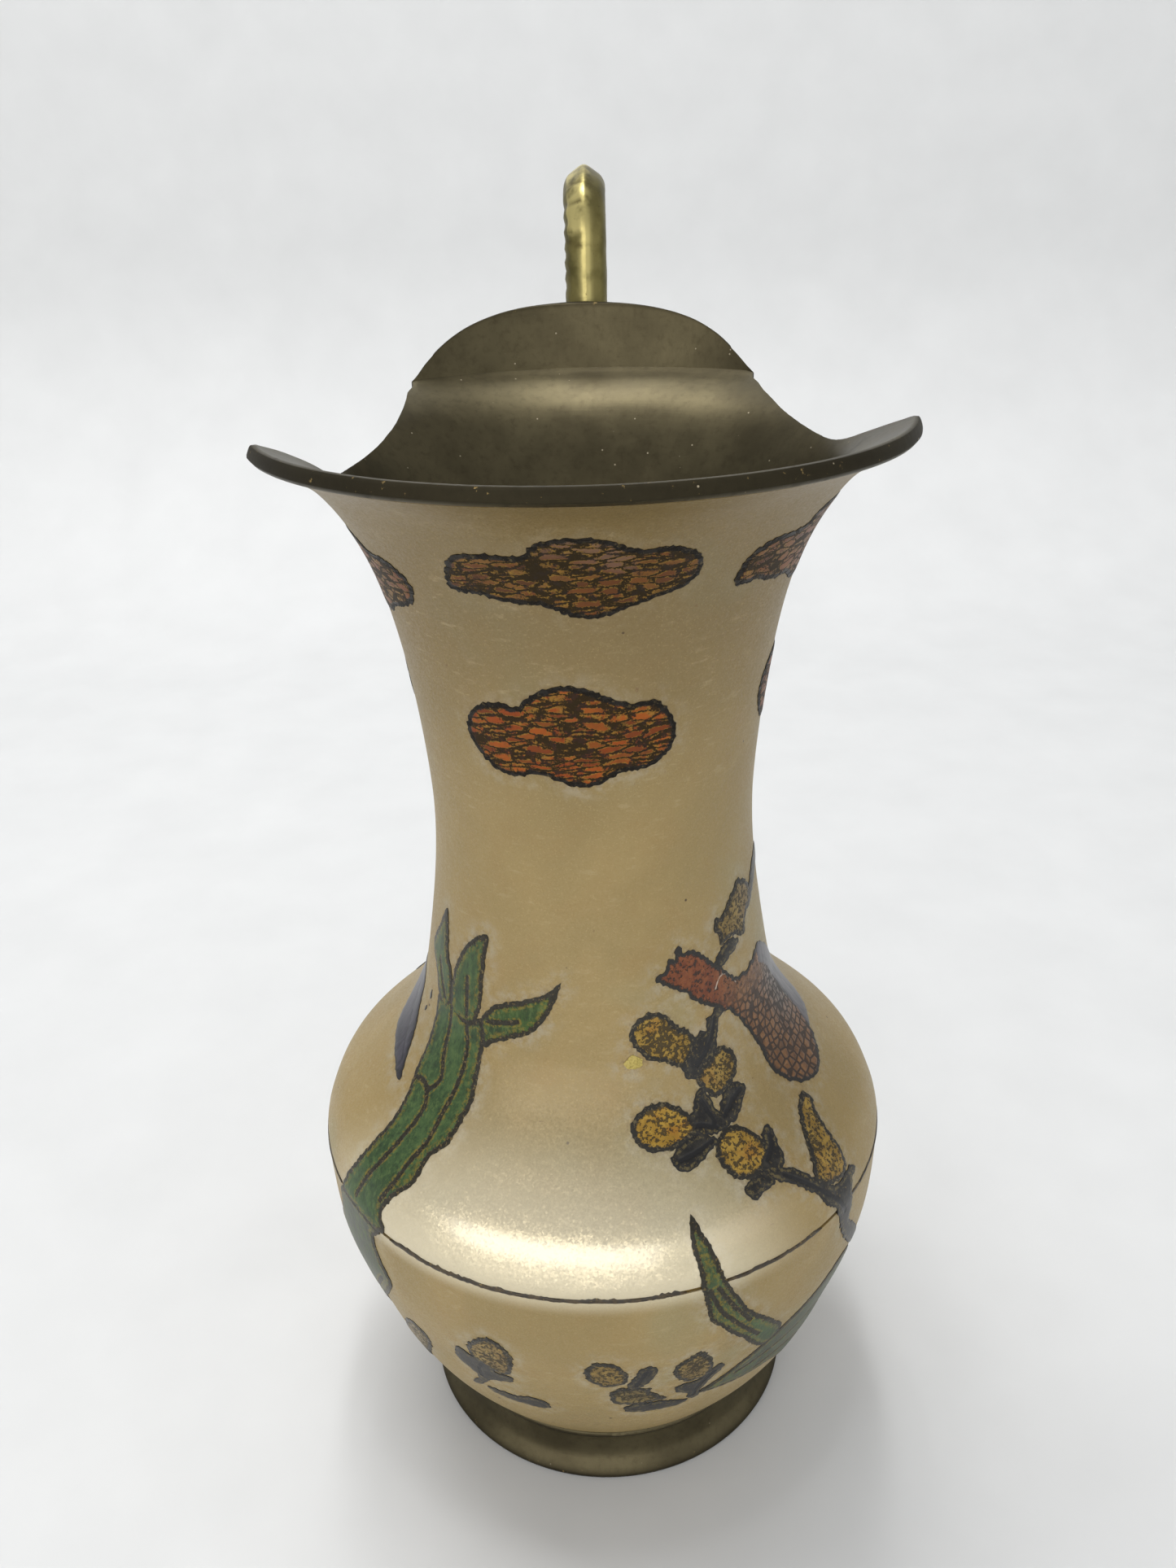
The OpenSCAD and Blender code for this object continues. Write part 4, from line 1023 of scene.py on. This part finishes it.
def build_mouth():
    columns = 400
    angles = np.linspace(0, 2 * math.pi, columns, endpoint=False)
    ends_out = np.array([wall_end(OUTER_WALL, a, HOOD_BEVEL) for a in angles])
    ends_in = np.array([wall_end(INNER_WALL, a) for a in angles])
    least = np.minimum(ends_in, 1.0) - 0.10 * (1 - smoothstep((ends_in - 0.95) / 0.1))
    ends_out = np.maximum(ends_out, least)
    lower, upper, band, back = 30, 12, 8, 0.5
    rows, wear = [], []

    def climb(wall, end):
        """Points up to just short of the edge, in two stretches split at the rim, and the
        way ahead there."""
        low = min(end, 1.0)
        first = low * (1 - (1 - np.linspace(0, 1, lower)) ** 1.3)
        p = wall_at(wall, np.concatenate([first, np.linspace(low, end, upper)]))
        stop = wall_at(wall, end)
        near = np.linalg.norm(p - stop, axis=1)
        ahead = stop - wall_at(wall, max(end - 0.02, 0))
        ahead /= max(np.linalg.norm(ahead), 1e-9)
        pull = np.clip(1 - near / (2.5 * back), 0, 1) * back
        return p - ahead * pull[:, None], ahead

    for a, to, ti in zip(angles, ends_out, ends_in):
        front = float(smoothstep((min(to, ti) - 0.975) / 0.02)) if max(to, ti) <= 1.02 else 0.0
        out, out_ahead = climb(OUTER_WALL, to)
        inn, in_ahead = climb(INNER_WALL, ti)
        ahead = out_ahead + in_ahead
        ahead /= np.linalg.norm(ahead)
        start, finish = out[-1], inn[-1]
        bulge = back + 0.55 * front
        w = np.arange(1, band)[:, None] / band
        shape = (1 - abs(2 * w - 1) ** 3.2) ** (1 / 2.2)
        edge = start + (finish - start) * w + ahead * bulge * shape
        line = np.vstack([out, edge, inn[::-1]])
        rows.append(np.stack([line[:, 0] * math.cos(a), line[:, 0] * math.sin(a), line[:, 1]], 1))
        wear.append([0.0] * len(out) + [1.0] * len(edge) + [0.0] * len(inn))
    grid, rub = np.array(rows), np.array(wear)
    rub = np.maximum(rub, np.maximum(np.roll(rub, 1, axis=1), np.roll(rub, -1, axis=1)) * 0.4)
    points = grid.transpose(1, 0, 2).reshape(-1, 3)
    points = points + ripple(points, 0.09, 0.08, 3)[:, None] * (
        points / np.maximum(np.linalg.norm(points, axis=1), 1)[:, None]) * 0.6
    faces = grid_faces(grid.shape[1], columns, close_rows=True)
    casting = make_mesh("mouth_casting", points, faces, dict(wear=rub.T.reshape(-1)), sharp=38)
    return casting, ends_out, angles


mouth_ob, ENDS_OUT, ANGLES = build_mouth()


def rim_length(az):
    """How far along the outline the coat goes under the rim, at azimuths in degrees."""
    ends = np.interp(np.mod(np.radians(az), 2 * math.pi), np.append(ANGLES, 2 * math.pi),
                     np.append(ENDS_OUT, ENDS_OUT[0]))
    index = NECK_I + np.minimum(ends - 0.006, 0.94) * (RIM_I - NECK_I)
    return np.interp(index, np.arange(len(LENGTHS)), LENGTHS)


# ---- Lacquer coats ---------------------------------------------------------------------------

COAT_AZ = np.linspace(0, 360, 300, endpoint=False)
COAT_UNDER = COAT - 0.03


def build_coat(low, high, rows):
    """Points and faces of a closed shell on the body between two lengths along the outline.
    The upper one is given for each azimuth."""
    columns = len(COAT_AZ)
    s = low + np.linspace(0, 1, rows)[:, None] * (high - low)
    az = np.broadcast_to(COAT_AZ, s.shape).ravel()
    outer = on_skin(az, s.ravel())
    swell = (ripple(outer, 0.035, 0.07, 11) + ripple(outer, 0.16, 0.02, 12)).reshape(s.shape)
    # the coat thins out to a soft edge
    border = np.minimum(s - low, high - s)
    lift = swell * smoothstep(border / 3) - 0.14 * (1 - smoothstep(border / 0.9))
    up = on_skin(az, s.ravel(), 1) - outer
    top = outer + up * lift.reshape(-1, 1)
    under = outer - up * COAT_UNDER
    points = np.vstack([top, under])
    n = rows * columns
    faces = grid_faces(rows, columns)
    faces += [tuple(i + n for i in reversed(f)) for f in faces]
    for j in range(columns):
        k = (j + 1) % columns
        faces.append((k, j, j + n, k + n))
        last = (rows - 1) * columns
        faces.append((last + j, last + k, last + k + n, last + j + n))
    return points, faces


def build_belly_line():
    """The ragged line round the belly, in stretches between the plants."""
    rng = np.random.default_rng(5)
    crown = [-0.3, 0.05, 0.08, 0.05, -0.3]
    across = len(crown)
    points, faces, count = [], [], 0
    for i, (_, start) in enumerate(GAPS):
        stop = GAPS[(i + 1) % len(GAPS)][0]
        if stop < start:
            stop += 360
        n = int((stop - start) / 0.55)
        az = np.linspace(start, stop, n)
        wave = np.array([noise.noise(Vector((a * 0.35, 1.7, 0.3))) for a in az])
        chips = np.array([noise.noise(Vector((a * 1.3, 4.1, 2.3))) for a in az])
        ends = smoothstep(np.minimum(az - start, stop - az) / 2.0)
        middle = BELLY_Z - 0.1 + 0.35 * wave
        thick = 0.95 + 0.55 * wave + 0.35 * np.exp(-((az + 122) / 14) ** 2)
        low = middle - (0.62 + 0.34 * chips) * ends * thick - 0.02
        high = middle + (0.66 + 0.70 * np.abs(chips) + 0.25 * rng.uniform(-1, 1, n)) * ends * thick
        for a, l, h in zip(az, low, high):
            for height, lift in zip(np.linspace(l, h, across), crown):
                points.append(on_skin(np.array(a), length_at(height), lift))
        faces += grid_faces(n, across, close_columns=False, start=count)
        faces.append(tuple(count + k for k in range(across)))
        faces.append(tuple(count + (n - 1) * across + k for k in reversed(range(across))))
        for k in range(n - 1):
            a, b = count + k * across, count + (k + 1) * across
            faces.append((a, b, b + across - 1, a + across - 1))
        count += n * across
    return make_mesh("belly_groove_filling", points, faces, sharp=60)


# ---- Foot ------------------------------------------------------------------------------------


def build_foot():
    outside = spline([(FOOT_R, 0.7), (FOOT_R, 1.6), (45.6, 5), (44.3, 9),
                      (FOOT_WAIST_R, FOOT_H - 0.35)], 7)
    toe = [(FOOT_R - 0.75, 0.0), (FOOT_R - 0.4, 0.06), (FOOT_R - 0.1, 0.3)]
    top = [(FOOT_WAIST_R - 0.25, FOOT_H - 0.05), (FOOT_WAIST_R - 1.0, FOOT_H - 0.25),
           (FOOT_WAIST_R - 2.8, FOOT_H - 2.4)]
    inside_wall = [(r - 2.8, z) for r, z in outside[::-1] if z < FOOT_H - 3]
    heel = [(FOOT_R - 2.75, 0.3), (FOOT_R - 2.4, 0.06), (FOOT_R - 2.0, 0.0)]
    profile = np.array(toe + outside.tolist() + top + inside_wall + heel)
    columns = 240
    a = np.linspace(0, 2 * math.pi, columns, endpoint=False)
    grid = np.stack([np.outer(profile[:, 0], np.cos(a)), np.outer(profile[:, 0], np.sin(a)),
                     np.outer(profile[:, 1], np.ones(columns))], -1)
    low_edge = smoothstep((3.0 - profile[:, 1]) / 2.0) * (profile[:, 0] > FOOT_R - 1)
    wear = np.maximum(low_edge * 0.7, (profile[:, 1] > FOOT_H - 1.2) * 0.3)
    wear = np.repeat(wear, columns)
    points = grid.reshape(-1, 3)
    return make_mesh("turned_foot", points, grid_faces(len(profile), columns, close_rows=True),
                     dict(wear=wear), sharp=45)


# ---- Handle: one bar swept along arcs that are tangent to each other ---------------------------

FRONT_Y, ROOT_Y, ROOT_R, LOOP_R, LOOP_Z = 76.0, 50.0, 14.0, 13.0, 284.0
SWEEP_R, TAIL_R, TURN_A, LOWER_A, LANDING_Z = 110.0, 40.0, 20.0, -50.0, 99.0
BAR_W, BAR_RIDGE = 10.5, HANDLE_TOP - LOOP_Z - LOOP_R
# The left edge of the front stretch has nicks, as [height, depth], and the left facet over the
# top has cuts, as lengths from the start of that stretch.
NICKS = [(292, 0.30), (288.5, 0.45), (285, 0.35), (281.5, 0.5), (278, 0.4), (274.5, 0.35)]
CUTS = [27.0, 34.7, 39.1]
CUT_DEPTH, CUT_HALF_WIDTH = 0.14, 0.55
END_RINGS = 16
SHOULDER_LOW, SHOULDER_HIGH = 86, 130


def arc(centre, r, start, end, step=1.0):
    """Points along an arc between two angles in degrees, as [y, z, heading]."""
    n = max(3, int(abs(math.radians(end - start)) * r / step))
    sign = 90 if end > start else -90
    return [(centre[0] + r * math.cos(math.radians(a)), centre[1] + r * math.sin(math.radians(a)),
             math.radians(a + sign)) for a in np.linspace(start, end, n + 1)]


def straight(p, q):
    """Points from p to q about a millimetre apart, as [y, z, heading]."""
    n = max(2, int(math.dist(p, q)))
    heading = math.atan2(q[1] - p[1], q[0] - p[0])
    return [(p[0] + (q[0] - p[0]) * k / n, p[1] + (q[1] - p[1]) * k / n, heading)
            for k in range(n + 1)]


def handle_path():
    root = (FRONT_Y - ROOT_R, 257.0)
    top = (FRONT_Y + LOOP_R, LOOP_Z)
    turn, low = math.radians(TURN_A), math.radians(LOWER_A)
    sweep = (top[0] - (SWEEP_R - LOOP_R) * math.cos(turn),
             top[1] - (SWEEP_R - LOOP_R) * math.sin(turn))
    tail = (sweep[0] + (SWEEP_R + TAIL_R) * math.cos(low),
            sweep[1] + (SWEEP_R + TAIL_R) * math.sin(low))
    end = (tail[0] - TAIL_R, tail[1])
    stretches = [straight((ROOT_Y, root[1] - ROOT_R), (root[0], root[1] - ROOT_R)),
                 arc(root, ROOT_R, -90, 0), straight((FRONT_Y, root[1]), (FRONT_Y, LOOP_Z)),
                 arc(top, LOOP_R, 180, TURN_A, 0.7), arc(sweep, SWEEP_R, TURN_A, LOWER_A, 1.3),
                 arc(tail, TAIL_R, 180 + LOWER_A, 180), straight(end, (end[0], LANDING_Z))]
    path = list(stretches[0])
    for s in stretches[1:]:
        path += s[1:]
    return path


def bar_section(points_round):
    """The bar's outline as [towards the ridge, across], with its corners rounded."""
    half = BAR_W / 2
    side = [(-3.5, half - 1.5), (-1.5, half), (0.6, half), (2.4, half - 1), (BAR_RIDGE, 0.45)]
    loop = np.array(side + [(x, -y) for x, y in reversed(side)], float)
    dense = evenly(loop, 0.25, closed=True)
    for _ in range(5):
        dense = (np.roll(dense, 1, axis=0) + dense + np.roll(dense, -1, axis=0)) / 3
    dense[:, 1] *= half / dense[:, 1].max()
    dense[:, 0] += BAR_RIDGE - dense[:, 0].max()
    around = np.linalg.norm(np.diff(np.vstack([dense, dense[:1]]), axis=0), axis=1).sum()
    return evenly(dense, around / points_round, closed=True)


def outline_samples(n):
    """Radius and height at n places along the outline, and those of the shoulder alone in
    order of radius."""
    r, z, _, _ = outline_at(np.linspace(0, LENGTHS[-1], n))
    on = np.flatnonzero((z > SHOULDER_LOW) & (z < SHOULDER_HIGH))
    on = on[np.argsort(r[on])]
    return r, z, r[on], z[on]


def turn_with_handle(points):
    """Turns the points about the pitcher's axis, in place."""
    c, s = math.cos(HANDLE_TURN), math.sin(HANDLE_TURN)
    points[:, :2] = points[:, :2] @ np.array([[c, -s], [s, c]]).T


def build_handle():
    path = handle_path()
    section = bar_section(44)
    steps = [math.dist(a[:2], b[:2]) for a, b in zip(path, path[1:])]
    run = np.concatenate([[0], np.cumsum(steps)])
    start = next(i for i, p in enumerate(path) if abs(p[0] - FRONT_Y) < 1e-6)
    rows, wear, groove = [], [], []
    for i, (y, z, heading) in enumerate(path):
        ring, rub, cut = [], [], []
        on_front = y < FRONT_Y + LOOP_R and z > 262
        over_top = i >= start and LOOP_Z - 4 < z and y < FRONT_Y + 2 * LOOP_R
        for tx, across in section:
            x = across
            if on_front and across < -BAR_W / 2 + 1.4:
                for height, deep in NICKS:
                    if abs(z - height) < 1.6:
                        x += deep * (1 - abs(z - height) / 1.6)
            facet = max(0.0, (tx - 1.5) / (BAR_RIDGE - 1.5))
            mark = 0.0
            if over_top and across < -0.4 and facet > 0:
                for at in CUTS:
                    gap = abs(run[i] - run[start] + across * 0.12 - at)
                    mark = max(mark, 1 - min(1.0, gap / CUT_HALF_WIDTH))
            lifted = tx - CUT_DEPTH * mark
            ring.append((x, y - lifted * math.sin(heading), z + lifted * math.cos(heading)))
            # the ridge is worn bright; the left facet over the top is marked bright too, as a
            # painted highlight of light from the left
            ridge = math.exp(-((tx - BAR_RIDGE) / 0.7) ** 2)
            lit_left_facet = across < -0.5 and facet > 0.12 and over_top and z > LOOP_Z + 1.5
            rub.append(min(1.0, 0.75 * ridge + 0.85 * lit_left_facet + 0.12))
            cut.append(mark)
        rows.append(ring)
        wear.append(rub)
        groove.append(cut)
    grid = np.array(rows)
    # the two ends follow the body they are brazed to
    r, z, shoulder_r, shoulder_z = outline_samples(600)
    first, last = grid[:END_RINGS], grid[-END_RINGS:]
    first[..., 1] = np.maximum(first[..., 1], np.interp(first[..., 2], z, r) - 1.3)
    first[0, :, 1] = np.interp(first[0, :, 2], z, r) - 1.3
    ground = np.interp(last[..., 1], shoulder_r, shoulder_z) - 1.6
    last[..., 2] = np.maximum(last[..., 2], ground)
    n, m = grid.shape[:2]
    # points is the same array as grid, so the middle line of the lumps below is turned twice
    points = grid.reshape(-1, 3)
    turn_with_handle(points)
    middle = np.repeat(grid.mean(1), m, axis=0)
    turn_with_handle(middle)
    out = points - middle
    out /= np.maximum(np.linalg.norm(out, axis=1), 1e-6)[:, None]
    lumps = ripple(points, 0.22, 0.12, 21) + ripple(points, 0.7, 0.05, 22) - 0.08
    points = points + out * lumps[:, None]
    faces = grid_faces(n, m)
    faces.append(tuple(reversed(range(m))))
    faces.append(tuple(range((n - 1) * m, n * m)))
    return make_mesh("handle_bar", points, faces,
                     dict(wear=np.array(wear).ravel(), groove=np.array(groove).ravel()), sharp=60)


def build_brazes():
    """Fillets where the handle meets the shoulder, the flare and the hood."""
    points, faces, count = [], [], 0
    rounds, rows = 40, 9
    a = np.linspace(0, 2 * math.pi, rounds, endpoint=False)
    r, z, shoulder_r, shoulder_z = outline_samples(900)

    def add(rings):
        nonlocal count
        grid = np.array([np.stack(ring, 1) for ring in rings])
        points.append(grid.reshape(-1, 3))
        faces.extend(grid_faces(len(grid), rounds, start=count))
        faces.append(tuple(count + j for j in reversed(range(rounds))))
        faces.append(tuple(count + (len(grid) - 1) * rounds + j for j in range(rounds)))
        count += len(grid) * rounds

    half_x, half_y, tail_y, root_z = BAR_W / 2, 4.2, 54.6, 243.6
    tail, root = [], []
    for w in np.arange(rows) / (rows - 1):
        spread = 0.25 + 3.9 * (1 - w) ** 2.2
        x = (half_x + spread) * np.cos(a)
        y = tail_y + 0.5 + (half_y + spread) * np.sin(a)
        ground = np.interp(np.hypot(x, y), shoulder_r, shoulder_z)
        tail.append([x, y, ground - 0.9 + 5.6 * w])
        spread = 0.2 + 3.6 * (1 - w) ** 2.2
        x = (half_x + spread) * np.cos(a)
        height = root_z + (half_y + spread * 0.8) * np.sin(a)
        ground = np.sqrt(np.maximum(np.interp(height, z, r) ** 2 - x ** 2, 1))
        root.append([x, ground - 0.9 + 5.0 * w, height])
    blob = []
    for t in math.pi * (np.arange(rows + 2) + 0.5) / (rows + 2):
        blob.append([4.9 * math.sin(t) * np.cos(a), 73.0 + 2.6 * math.sin(t) * np.sin(a),
                     np.full(rounds, 264.5 + 5.6 * math.cos(t))])
    for rings in (tail, root, blob):
        add(rings)
    cloud = np.vstack(points)
    turn_with_handle(cloud)
    cloud += ripple(cloud, 0.5, 0.22, 31)[:, None] * np.array([0.6, 0.6, 0.5])
    return make_mesh("handle_braze_fillets", cloud, faces, sharp=70)


# ---- Build -----------------------------------------------------------------------------------

clouds = motif("clouds", cloud_shapes(), 1, ragged=0.45, cell=1.1)
reeds = motif("reeds", REED_LOW + REED_STEM + REED_LEAVES + LOW_REED
              + turned(REED_STEM + REED_LEAVES + REED_LOW, 198), 2, ragged=0.28)
violets = motif("violet_leaf_and_wing", VIOLET + TICKS, 3, ragged=0.25, lift=0.14)
leaflets = motif("dark_leaflets", LEAFLETS + turned(LEAFLETS[:4], 200), 4, ragged=0.42, cell=0.8,
                 lift=0.10)
buds = motif("buds", BUDS + BOWL_BUDS + BUD_CHIP + turned(BUDS[:4], 200), 5, ragged=0.48,
             cell=0.85, lift=0.13)
bird = motif("bird", [dict(BIRD[0], veins=BIRD_RINGS)], 6, ragged=0.42, cell=0.9, lift=0.12)
bird_at = np.zeros(len(bird.data.vertices) * 3, np.float32)
bird.data.vertices.foreach_get("co", bird_at)
bird_at = bird_at.reshape(-1, 3) / MM
bird_az = np.degrees(np.arctan2(bird_at[:, 1], bird_at[:, 0]))
for key, values in (("level_mm", bird_at[:, 2]),
                    ("back_share", np.clip((bird_az + 62) / 50, 0, 1))):
    layer = bird.data.attributes.new(key, "FLOAT", "POINT")
    layer.data.foreach_set("value", values.astype(np.float32))

line = build_belly_line()
coat_low, coat_high = length_at(LINE_LOW + 0.25), length_at(LINE_HIGH - 0.25)
coats = {"bowl_lacquer": build_coat(0.0, np.full(len(COAT_AZ), coat_low), 64),
         "upper_lacquer": build_coat(coat_high, rim_length(COAT_AZ), 128)}
tree_points = np.vstack(OUTLINES)
tree = kdtree.KDTree(len(tree_points))
for i, p in enumerate(tree_points):
    tree.insert(p, i)
tree.balance()

cream = cream_look()
for node, (points, faces) in coats.items():
    halo = np.array([tree.find(p)[2] for p in points.tolist()])
    coat = make_mesh(node.replace("lacquer", "coat"), points, faces, dict(halo_mm=halo), sharp=60)
    place(coat, node, cream)

place(mouth_ob, "mouth", patina_look("patinated_mouth_brass"))
place(build_foot(), "foot_ring", patina_look("patinated_foot_brass", 0.3))
place(build_handle(), "handle", handle_look())
place(build_brazes(), "handle_brazes", braze_look())
place(line, "belly_line", line_look())
place(clouds, "cloud_inlays", cloud_look())
place(reeds, "reed_inlays", reed_look())
place(violets, "violet_inlays", violet_look())
place(buds, "bud_inlays", bud_look())
place(bird, "bird_inlay", bird_look())
place(leaflets, "stem_inlays", leaflet_look())

inner_brass = inner_brass_look()
ring_metal = braze_look()
dark_metal = patina_look("dark_brazing_metal", 0.3)
for name, metal in (("bowl", inner_brass), ("shoulder_and_neck", inner_brass),
                    ("foot_braze", dark_metal), ("belly_braze", ring_metal),
                    ("neck_braze", ring_metal)):
    paint(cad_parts[name], metal)


# ---- Floor, light and camera -----------------------------------------------------------------


def sweep_floor():
    """A pale floor that curves up into a wall behind."""
    profile = [(-3.0, 0.0), (0.55, 0.0)]
    profile += [(0.55 + 0.25 * math.sin(t), 0.25 - 0.25 * math.cos(t))
                for t in np.linspace(0.1, math.pi / 2, 14)]
    profile += [(0.80, 2.6)]
    points = [(x / MM, y / MM, z / MM) for y, z in profile for x in (-3.0, 3.0)]
    ob = make_mesh("floor", points, grid_faces(len(profile), 2, close_columns=False))
    n = Look("pale_floor")
    soft = n.noise(40, 3, 0.5)
    n.set(colour=n.mix(soft, (203, 204, 204), (214, 215, 215)), rough=0.7)
    ob.data.materials.append(n.material)


def area_light(name, at, aim, size, power, colour=(1, 1, 1)):
    data = bpy.data.lights.new(name, "AREA")
    data.shape = "RECTANGLE"
    data.size, data.size_y = size
    data.energy = power
    data.color = colour
    ob = bpy.data.objects.new(name, data)
    ob.location = at
    ob.rotation_euler = (Vector(aim) - Vector(at)).to_track_quat("-Z", "Y").to_euler()
    bpy.context.scene.collection.objects.link(ob)


sweep_floor()
area_light("overhead_left", (-0.36, 0.25, 1.8), (0, 0.05, 0.1), (0.5, 1.1), 13, (1.0, 0.99, 0.98))
area_light("front_windows", (-0.52, -1.5, 0.50), (0, 0, 0.1), (2.5, 0.80), 13.5, (1.0, 0.98, 0.95))
area_light("right_window", (1.35, -1.0, 0.35), (0, 0, 0.14), (1.5, 1.0), 3.2)
area_light("ceiling_strip", (-0.01, 0.52, 1.9), (-0.01, 0.51, 0), (0.11, 1.4), 11.0)
area_light("ceiling_strip_left", (-0.22, 0.85, 1.9), (-0.22, 0.84, 0), (0.05, 0.6), 3.0)

world = bpy.data.worlds.new("studio")
world.use_nodes = True
world.node_tree.nodes["Background"].inputs["Color"].default_value = (0.97, 0.98, 1.0, 1.0)
world.node_tree.nodes["Background"].inputs["Strength"].default_value = 0.63
bpy.context.scene.world = world
bpy.context.scene.view_settings.view_transform = "Standard"

# The camera stands in front, looks down by the pitch, and is a little askew.
CAMERA_AT = (0, -0.26925, 0.30077)
PITCH, ROLL, YAW = math.radians(25.42), -0.03036, 0.00407
camera_data = bpy.data.cameras.new("camera")
camera_data.sensor_width = 36.0
camera_data.lens = 29.70
camera = bpy.data.objects.new("camera", camera_data)
camera.matrix_world = (Matrix.Translation(CAMERA_AT) @ Matrix.Rotation(YAW, 4, "Z")
                       @ Matrix.Rotation(math.pi / 2 - PITCH, 4, "X")
                       @ Matrix.Rotation(ROLL, 4, "Z"))
bpy.context.scene.collection.objects.link(camera)
bpy.context.scene.camera = camera
